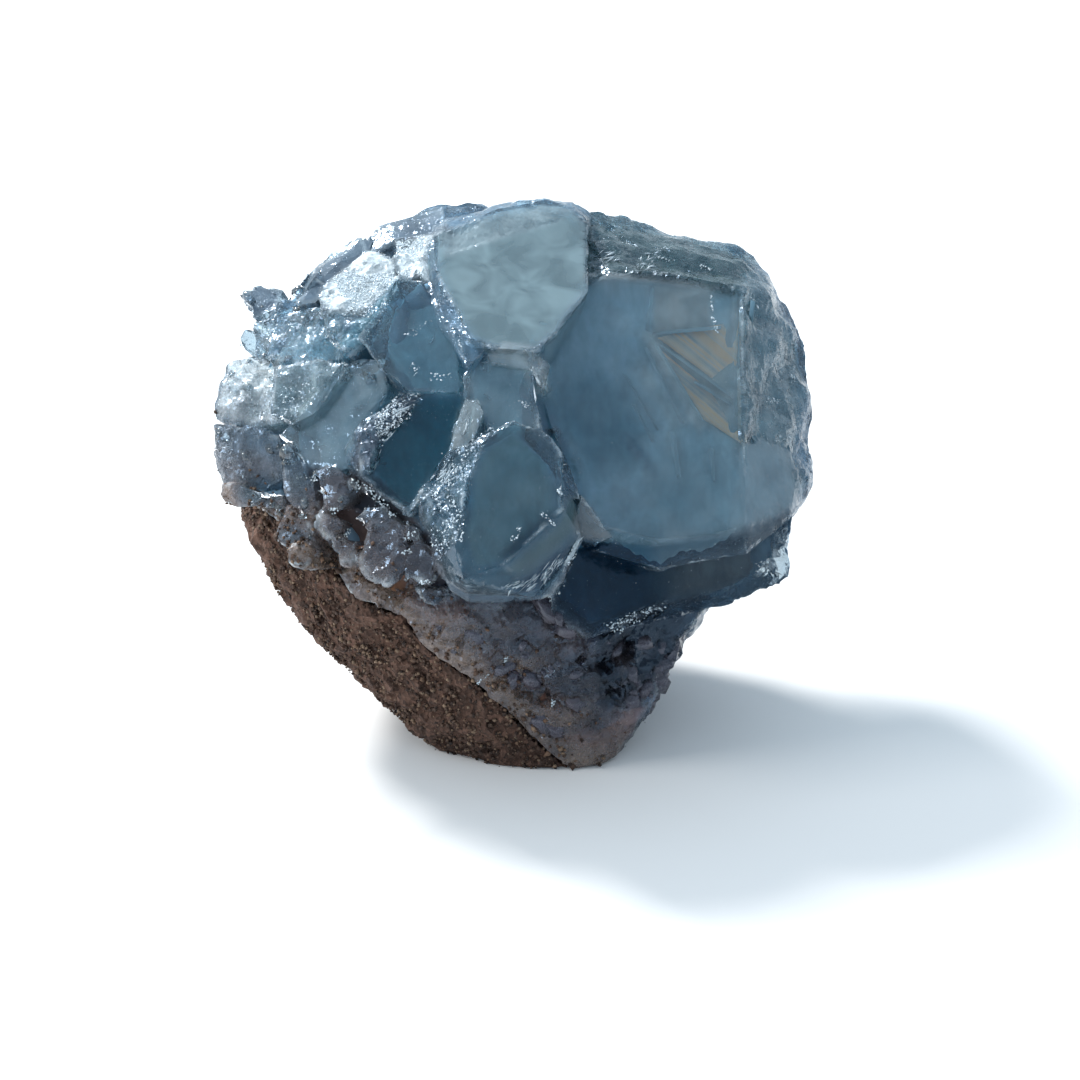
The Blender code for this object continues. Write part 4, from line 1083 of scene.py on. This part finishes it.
def tablets(places, outward, half, luck):
    """Small tabular crystals, all at once: a six-sided prism of the given half widths ending in a roof."""
    count = len(places)
    thick = half * luck.uniform(0.45, 0.8, count)
    height = half * luck.uniform(0.2, 0.9, count)
    foot = -half * luck.uniform(1.2, 2.0, count)
    roof = height + half * luck.uniform(0.35, 0.8, count)
    ring = np.stack([np.outer(half, TABLET_RING[:, 0]), np.outer(thick, TABLET_RING[:, 1])], axis=2)
    shape = np.zeros((count, 14, 3))
    shape[:, 0:6, :2] = ring * 0.8
    shape[:, 6:12, :2] = ring
    shape[:, 0:6, 2] = foot[:, None]
    shape[:, 6:12, 2] = height[:, None]
    shape[:, 12, 0] = half * luck.uniform(0.3, 0.7, count)
    shape[:, 13, 0] = -half * luck.uniform(0.3, 0.7, count)
    shape[:, 12:14, 2] = roof[:, None]
    axes = turned(outward, luck)
    return repeated(np.einsum("nij,nkj->nki", axes, shape) + places[:, None, :], TABLET_FACES)


DIAMOND_CORNERS = np.array([(1.0, 0, 0), (0, 1.0, 0), (-1.0, 0, 0), (0, -1.0, 0), (0, 0, 1.0), (0, 0, -1.0)])
DIAMOND_FACES = np.array([(0, 1, 4), (1, 2, 4), (2, 3, 4), (3, 0, 4),
                          (1, 0, 5), (2, 1, 5), (3, 2, 5), (0, 3, 5)])


def diamonds(places, axes, half, shape):
    """Small double pyramids: four corners round the middle and one at each end, shape times half wide."""
    placed = np.einsum("nij,kj->nki", axes, DIAMOND_CORNERS * shape) * half[:, None, None]
    placed = placed + places[:, None, :]
    return repeated(placed, DIAMOND_FACES)


def druse():
    """Small crystals between and beside the large ones: thickest in the creases and on the far left."""
    luck = np.random.default_rng(SEED)
    points, triangles = refined("celestite", 1.2)
    normals = point_normals(points, triangles)
    across, up, toward = drawn(points)
    crease = soft_step(hollow_by(points, triangles, normals, 3), 0.06, 0.3)
    left = soft_step(-across, 13.0, 20.0) * soft_step(up, -7.0, -5.0) * soft_step(toward, -10.0, -4.0)
    density = (crease * 0.8 + left * 0.4) * (1.0 - root_share(points)) * (1.0 - soft_step(across, 3.0, 5.0))
    places, outward = scattered(points, triangles, density, DRUSE_CRYSTALS, luck)
    outward = unit(outward + unit(places - HEART) + 0.45 * luck.normal(size=outward.shape))
    half = 0.2 + 0.6 * luck.random(len(places)) ** 2.5
    return tablets(places - outward * half[:, None] * 0.5, outward, half, luck)


def shards():
    """Broken ends of the root's columns: tablets that point away from the heart and stand a little way out.

    They keep off the crust and the lowest 2 mm, and stay inside the CAD's box.
    """
    luck = np.random.default_rng(SEED + 9)
    points, triangles = refined("celestite", 1.0)
    clear_of_crust = soft_step(crust_distance(points), 0.8, 2.0)
    raised = soft_step(above_floor(points), 2.0, 3.0)
    patchy = 0.3 + soft_step(waves(points, 3.0, SEED + 55), -0.3, 0.5)
    density = root_share(points) ** 2 * clear_of_crust * raised * patchy + 1e-9
    places, outward = scattered(points, triangles, density, ROOT_SHARDS, luck)
    outward = unit(0.5 * outward + unit(places - HEART) + 0.35 * luck.normal(size=outward.shape))
    half = 0.35 + 1.25 * luck.random(len(places)) ** 1.5
    points, triangles = tablets(places - outward * half[:, None] * 0.95, outward, half, luck)
    low, high = (in_cluster(np.array(corner)) for corner in cad_box)
    return np.clip(points, low, high), triangles


def sugar():
    """Sugary coating of the snowy faces: tiny double pyramids, densest where a face is broken and milky."""
    luck = np.random.default_rng(SEED + 2)
    points, triangles = refined("celestite", 0.8)
    _, milk, broken, _, _ = painted(points, point_normals(points, triangles), 0.1)
    patchy = 0.3 + soft_step(waves(points, 1.6, SEED + 30), -0.3, 0.6)
    clean = 1.0 - soft_step(-crust_distance(points), -3.0, -1.0)
    density = (soft_step(broken, 0.6, 0.95) * patchy * (0.06 + milk ** 1.5)) * clean
    density = density * (1.0 - 0.95 * root_share(points))
    places, outward = scattered(points, triangles, density, SUGAR_GRAINS, luck)
    axes = turned(unit(outward + 0.8 * luck.normal(size=outward.shape)), luck)
    half = 0.03 + 0.11 * luck.random(len(places)) ** 2
    return diamonds(places, axes, half, (1.0, 0.6, 0.7))


def dust():
    """White specks in patches on the side that looks at the eye, from the skin to about 2.4 mm under it."""
    luck = np.random.default_rng(SEED + 4)
    points, triangles = refined("celestite", 1.5)
    toward = drawn(points)[2]
    density = soft_step(toward, 0.0, 5.0) * (0.2 + soft_step(waves(points, 3.0, SEED + 50), 0.0, 0.8))
    places, outward = scattered(points, triangles, density, DUST_SPECKS, luck)
    places = places - outward * luck.uniform(0.0, 1.8, len(places))[:, None] ** 1.5
    axes = turned(unit(luck.normal(size=outward.shape)), luck)
    return diamonds(places, axes, 0.02 + 0.035 * luck.random(len(places)) ** 3, (1.0, 0.8, 0.9))


def on_plane(plane, across, up, sunk):
    """The place on a drawn face at across, up, sunk mm behind it: a true plane seen in perspective."""
    distance, slope_across, slope_up = plane
    slope = slope_across * across + slope_up * up
    return seen(across, up, (distance + slope) / (1.0 + slope / EYE) - sunk)


def slab_faces(rows, across):
    """Faces of a closed slab: two grids of rows by across cells, and a band between their rims."""
    line = across + 1
    size = line * (rows + 1)
    first = (np.arange(rows)[:, None] * line + np.arange(across)).ravel()
    front = np.concatenate([np.stack([first, first + 1, first + line + 1], axis=1),
                            np.stack([first, first + line + 1, first + line], axis=1)])
    step, climb = np.arange(across), np.arange(rows)
    ring = np.concatenate([step, across + climb * line, size - 1 - step, (rows - climb) * line])
    after = np.roll(ring, -1)
    sides = np.concatenate([np.stack([ring, ring + size, after + size], axis=1),
                            np.stack([ring, after + size, after], axis=1)])
    return np.concatenate([front, front[:, ::-1] + size, sides])


def plates(plane, items, thick, rows):
    """Thin closed plates behind a drawn face: each spans its four corners and is thick in its middle."""
    corners, sunk = zip(*items)
    share = np.linspace(0.0, 1.0, rows + 1)
    u, v = (grid.ravel() for grid in np.meshgrid(share, share))
    a, b, c, d = (np.array(corners)[:, corner, :, None] for corner in range(4))
    flat = a * (1 - u) * (1 - v) + b * u * (1 - v) + c * u * v + d * (1 - u) * v
    behind = np.array(sunk)[:, None] + 0.3 * np.sin(3.0 * u + 2.0 * v)[None]
    bulge = thick * 4.0 * np.sqrt(u * (1 - u) * v * (1 - v)) + 0.004
    front = on_plane(plane, flat[:, 0], flat[:, 1], behind - bulge)
    back = on_plane(plane, flat[:, 0], flat[:, 1], behind + bulge)
    return repeated(np.concatenate([front, back], axis=1), slab_faces(rows, rows))


def lip(plane, tops, rims, thick):
    """The block's lower edge: a shelf in the block's plane between two curves, thin at its wavy rim.

    It is as thick as a quarter of a circle is high over its width, and tapers to nothing at both ends.
    """
    rows, steps = 8, 120
    grids = np.meshgrid(np.linspace(0.0, 1.0, steps + 1), np.linspace(0.0, 1.0, rows + 1))
    u, v = (grid.ravel() for grid in grids)
    across = rims[0][0] + (rims[-1][0] - rims[0][0]) * u
    top = np.interp(across, *np.array(tops).T)
    rim = np.interp(across, *np.array(rims).T)
    rim = rim + 0.18 * np.sin(across * 4.1) * np.sin(across * 1.7 + 1.0)
    up = top + (rim - top) * v
    half = 0.5 * thick * np.sqrt(1.0 - v ** 2) + 0.01
    ends = np.minimum(np.minimum(u, 1.0 - u) * 12.0, 1.0)
    front, back = (on_plane(plane, across, up, LIP_SUNK + side * half * ends) for side in (-1.0, 1.0))
    return np.concatenate([front, back]), slab_faces(rows, steps)[:, ::-1]


def on_surface(points, across_at, up_at):
    """The front-most of a surface's points that show within SEEN_NEAR of each place on the drawing."""
    across, up, toward = drawn(points)
    gap = np.hypot(across[None] - np.array(across_at)[:, None], up[None] - np.array(up_at)[:, None])
    return np.where(gap < SEEN_NEAR, toward[None], -1000.0).argmax(axis=1)


def slivers_at(marks, luck):
    """Where each mark's slivers show on the drawing, moved by chance along and across it, and its turn."""
    marks = np.repeat(np.array(marks), SLIVERS, axis=0)
    across, up, length, width, turn = marks.T
    along_by = luck.uniform(-0.5, 0.5, len(marks)) * length
    aside_by = luck.uniform(-0.5, 0.5, len(marks)) * width
    turn = np.radians(turn)
    across = across + along_by * np.cos(turn) - aside_by * np.sin(turn)
    up = up + along_by * np.sin(turn) + aside_by * np.cos(turn)
    return across, up, turn


def flakes(marks, sizes, slender, seed):
    """Fresh chips, partly painted glints: each mark is a patch of slivers, thin five-sided rings with a
    raised middle and a foot.

    A sliver lies where the line towards the eye through its place meets the plane that touches the surface.
    """
    luck = np.random.default_rng(seed)
    points, triangles = refined("celestite", 0.6)
    normals = spread(point_normals(points, triangles), points, triangles, 2)
    across, up, turn = slivers_at(marks, luck)
    count = len(across)
    there = on_surface(points, across, up)
    placed_at = seen(across, up, drawn(points[there])[2])
    gap = ((points[there] - placed_at) * normals[there]).sum(axis=1)
    placed_at = placed_at + TOWARD_EYE * (gap / np.maximum(normals[there] @ TOWARD_EYE, 0.3))[:, None]
    turn = turn + luck.uniform(-1.0, 1.0, count) * min(1.0, 2.5 * slender[0])
    outward = unit(normals[there] + 0.3 * luck.normal(size=(count, 3)))
    along = np.stack([np.cos(turn), np.sin(turn) * UP_DRAWING[1], np.sin(turn) * UP_DRAWING[2]], axis=1)
    along = unit(along - outward * (along * outward).sum(axis=1, keepdims=True))
    axes = np.stack([along, np.cross(outward, along), outward], axis=2)
    corners = 5
    angle = np.arange(corners) * 2.0 * math.pi / corners + luck.uniform(0.0, 1.2, (count, 1))
    half_long = (sizes[0] + (sizes[1] - sizes[0]) * luck.random(count) ** 2)[:, None]
    half_wide = half_long * luck.uniform(*slender, (count, 1))
    ragged = luck.uniform(0.5, 1.2, (count, corners))
    ring = np.stack([half_long * ragged * np.cos(angle), half_wide * ragged * np.sin(angle), 0.0 * ragged],
                    axis=2)
    ends = np.zeros((count, 2, 3))
    ends[:, 0, 2] = 0.03 + 0.3 * half_wide[:, 0]
    ends[:, 1, 2] = -0.15
    placed = np.einsum("nij,nkj->nki", axes, np.concatenate([ring, ends], axis=1)) + placed_at[:, None, :]
    side = np.arange(corners)
    after = (side + 1) % corners
    faces = np.concatenate([np.stack([side, after, side * 0 + corners], axis=1),
                            np.stack([after, side, side * 0 + corners + 1], axis=1)])
    return repeated(placed, faces)


def lens_faces(rings, spokes):
    """Faces of a lens: a fan and rings on top, and the same turned over below, sharing the rim's points."""
    count = 1 + rings * spokes
    inner = count - spokes
    spoke = np.arange(spokes)
    after = (spoke + 1) % spokes
    fan = np.stack([spoke * 0, 1 + spoke, 1 + after], axis=1)
    start = 1 + np.arange(rings - 1)[:, None] * spokes
    here, there = (start + spoke).ravel(), (start + after).ravel()
    top = np.concatenate([fan, np.stack([here, here + spokes, there + spokes], axis=1),
                          np.stack([here, there + spokes, there], axis=1)])
    bottom = np.where(top < inner, top + count, top)[:, ::-1]
    return np.concatenate([top, bottom])


def fractures():
    """Healed cracks: thin lenses of air, each a bent disc with a wavy outline whose skins meet at its rim.

    The outline is 1 plus four cosines of the turn, the bend is a random mix of x^2 + y^2 and xy, and the
    skins part by 1 - r^2. They lie sunk under the faces of the upper left.
    """
    luck = np.random.default_rng(SEED + 1)
    points, triangles = refined("celestite", 1.5)
    across, up, toward = drawn(points)
    density = soft_step(up, -3.0, 1.0) * soft_step(toward, -2.0, 2.0) * (1.0 - soft_step(across, -4.0, 0.0))
    places, outward = scattered(points, triangles, density, HEALED_CRACKS, luck)
    width = 0.4 + 1.2 * luck.random(HEALED_CRACKS) ** 2
    places = places - outward * (width * 1.3 + 0.4)[:, None]
    axes = turned(unit(outward * 0.4 + luck.normal(size=outward.shape)), luck)
    rings, spokes, thin = 6, 20, 0.012
    radius = np.arange(1, rings + 1) / rings
    angle = np.arange(spokes) * 2.0 * math.pi / spokes
    around = np.stack([np.outer(radius, np.cos(angle)), np.outer(radius, np.sin(angle))], axis=2)
    flat = np.concatenate([[(0.0, 0.0)], around.reshape(-1, 2)])
    size = (flat ** 2).sum(axis=1)
    turn = np.arctan2(flat[:, 1], flat[:, 0])
    each = (HEALED_CRACKS, 1)
    wavy = 1.0 + sum(luck.normal(size=each) * 0.3 / wave * np.cos(wave * turn + luck.uniform(0, 6.3, each))
                     for wave in (2, 3, 5, 8))
    bend = luck.normal(size=each) * 0.2 * size + luck.normal(size=each) * 0.2 * flat[:, 0] * flat[:, 1]
    middle = bend + thin * np.sin(16.0 * np.sqrt(size))
    x, y = flat[:, 0] * wavy, 0.55 * flat[:, 1] * wavy
    upper = np.stack([x, y, middle + thin * (1.0 - size)], axis=2)
    lower = np.stack([x, y, middle - thin * (1.0 - size)], axis=2)[:, :len(flat) - spokes]
    shape = np.concatenate([upper, lower], axis=1) * width[:, None, None]
    return repeated(np.einsum("nij,nkj->nki", axes, shape) + places[:, None, :], lens_faces(rings, spokes))


def on_floor(points):
    """The points, with those that are below the plane that the cluster rests on raised to it."""
    points[:, 2] = np.maximum(points[:, 2], -STANDS_AT[2])
    return points


def matrix_crust():
    """The crust's outside: the CAD surface, refined, roughened by noise along its normals and a little sunk.

    It is smoother and more sunk towards the seam, so that the celestite stands over it there.
    """
    points, triangles = refined("matrix", CRUST_EDGE)
    normals = point_normals(points, triangles)
    relief = waves(points, 2.5, SEED + 7) * 0.3 + chipped(points, 1.3, SEED + 8) * 0.8
    above = soft_step(above_floor(points), 0.0, 0.6)
    seam = soft_step(crust_distance(points), -1.2, -0.1)
    moved = points + normals * (relief * above * (1.0 - 0.6 * seam) - 0.1 - 0.15 * seam)[:, None]
    return on_floor(moved), triangles


def grains():
    """Sand grains on the crust, and strewn over the celestite beside it: small double pyramids of six tones.

    The strewn ones thin out as e to the power of minus the distance from the seam over their width. None lies
    on the hidden faces where the two pieces meet.
    """
    luck = np.random.default_rng(SEED + 3)
    places, outward, half, lift = [], [], [], []
    for name, count, width, least in SAND:
        points, triangles = refined(name, 1.0)
        away = crust_distance(points)
        density = np.ones(len(points))
        if width:
            near = np.exp(-np.maximum(np.abs(away) - 0.3, 0.0) / width)
            density = near * (0.2 + soft_step(waves(points, 2.0, SEED + 60), -0.2, 0.7))
        outside = away if name == "celestite" else -away
        density = density * soft_step(outside, 0.02, 0.12) * soft_step(above_floor(points), 0.2, 0.6) + 1e-9
        place, out = scattered(points, triangles, density, count, luck)
        places.append(place)
        outward.append(out)
        half.append(least + 0.26 * luck.random(count) ** 2)
        lift.append(np.full(count, SAND_LIFT[name]))
    places, outward, half, lift = (np.concatenate(parts) for parts in (places, outward, half, lift))
    axes = turned(unit(outward + 0.9 * luck.normal(size=outward.shape)), luck)
    lift = lift - half * 0.3
    points, triangles = diamonds(places + outward * lift[:, None], axes, half, (1.0, 0.75, 0.65))
    mesh = new_mesh("sand", on_floor(points), triangles)
    tones = np.array([linear(code) for code in SAND_TONES])
    chosen = luck.integers(0, len(tones), len(places))
    shade = luck.uniform(0.6, 1.1, (len(places), 1))
    colour_attribute(mesh, "tone", np.repeat(tones[chosen] * shade, len(DIAMOND_CORNERS), axis=0))
    return mesh


def area_light(name, place, size, power):
    """A soft square light that looks at the cluster."""
    light = bpy.data.lights.new(name, "AREA")
    light.size = size
    light.energy = power
    light.color = LIGHT_COLOUR
    item = bpy.data.objects.new(name, light)
    bpy.context.scene.collection.objects.link(item)
    item.location = place
    item.rotation_euler = (Vector(LIGHT_AIM) - Vector(place)).to_track_quat("-Z", "Y").to_euler()


def pale_floor():
    """A plain matt floor."""
    bpy.ops.mesh.primitive_plane_add(size=FLOOR_WIDTH, location=(0.0, 0.0, 0.0))
    floor = bpy.context.active_object
    floor.name = "floor"
    material, tree = new_material("pale_floor")
    shader = add(tree, "BsdfPrincipled", {"Base Color": (0.8, 0.8, 0.8, 1.0), "Roughness": 0.9})
    floor.data.materials.append(finished(material, shader))


def studio_sky():
    """Even light from all round, dimmest from the front below and brightest from behind above."""
    world = bpy.data.worlds.new("studio")
    bpy.context.scene.world = world
    world.use_nodes = True
    tree = world.node_tree
    tree.nodes.clear()
    way = add(tree, "TexCoord").outputs["Generated"]
    behind = add(tree, "VectorMath", {"operation": "DOT_PRODUCT", 1: SKY_BRIGHT_WAY}, {0: way})
    bright = add(tree, "MapRange",
                 {"From Min": -1.0, "From Max": 1.0, "To Min": SKY_DIM, "To Max": SKY_BRIGHT},
                 {"Value": behind.outputs[1]})
    sky = add(tree, "Background", {"Color": SKY_COLOUR}, {"Strength": bright.outputs[0]})
    add(tree, "OutputWorld", None, {"Surface": sky.outputs[0]})


def camera():
    """The photograph's view: from the drawing's eye square onto it, and shifted to the picture's middle."""
    lens = bpy.data.cameras.new("camera")
    lens.sensor_width = SENSOR
    lens.lens = SENSOR * EYE / DRAWING_WIDTH
    lens.shift_x = DRAWING_MIDDLE[0] / DRAWING_WIDTH
    lens.shift_y = -DRAWING_MIDDLE[1] / DRAWING_WIDTH
    lens.clip_start = 0.01
    item = bpy.data.objects.new("camera", lens)
    bpy.context.scene.collection.objects.link(item)
    item.location = in_frame(TOWARD_EYE * EYE)
    item.rotation_euler = (math.pi / 2 - VIEW_RISE, 0.0, 0.0)
    bpy.context.scene.camera = item


# Pieces: name, shape, material, and the angle in degrees from which edges stay sharp
crystals = new_piece("crystals", crystal_skin(), clear_celestite(), 9.0)
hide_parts("celestite")
new_piece("cloudy_core", cloudy_core(), cloudy_celestite(), 60.0)
new_piece("druse", druse(), clear_druse())
new_piece("root_shards", shards(), lilac_shards())
sugar_white = white_sugar()
new_piece("sugar_coating", sugar(), sugar_white)
new_piece("dust", dust(), sugar_white)
new_piece("block_edge", lip(BLOCK_PLANE, LIP_TOPS, LIP_RIMS, LIP_THICK), clear_lip(), 40.0)
# Fresh chips: white slivers, partly painted glints
new_piece("chips_and_glints", flakes(CHIPS_AND_GLINTS, CHIP_SIZES, CHIP_SLENDER, SEED + 6), sugar_white)
new_piece("fine_lines", flakes(LINES, LINE_SIZES, LINE_SLENDER, SEED + 8), sugar_white)
new_piece("healed_cracks", fractures(), air_film(), 180.0)
new_piece("laths", plates(BLOCK_PLANE, LATHS, LATH_THICK, 8), milky_veil(), 180.0)
new_piece("stain", plates(BLOCK_PLANE, STAIN, STAIN_THICK, 12), stained_cleavage(), 180.0)
crust = new_piece("matrix_crust", matrix_crust(), sandy_matrix(), 60.0)
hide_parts("matrix")
new_piece("sand", grains(), sand_grains())

pale_floor()
studio_sky()
area_light("key", *KEY_LIGHT)
area_light("side", *SIDE_LIGHT)
camera()
bpy.context.scene.view_settings.view_transform = "Standard"
bpy.context.scene.cycles.max_bounces = 5
bpy.context.scene.cycles.diffuse_bounces = 2
bpy.context.scene.cycles.glossy_bounces = 2
bpy.context.scene.cycles.transmission_bounces = 5
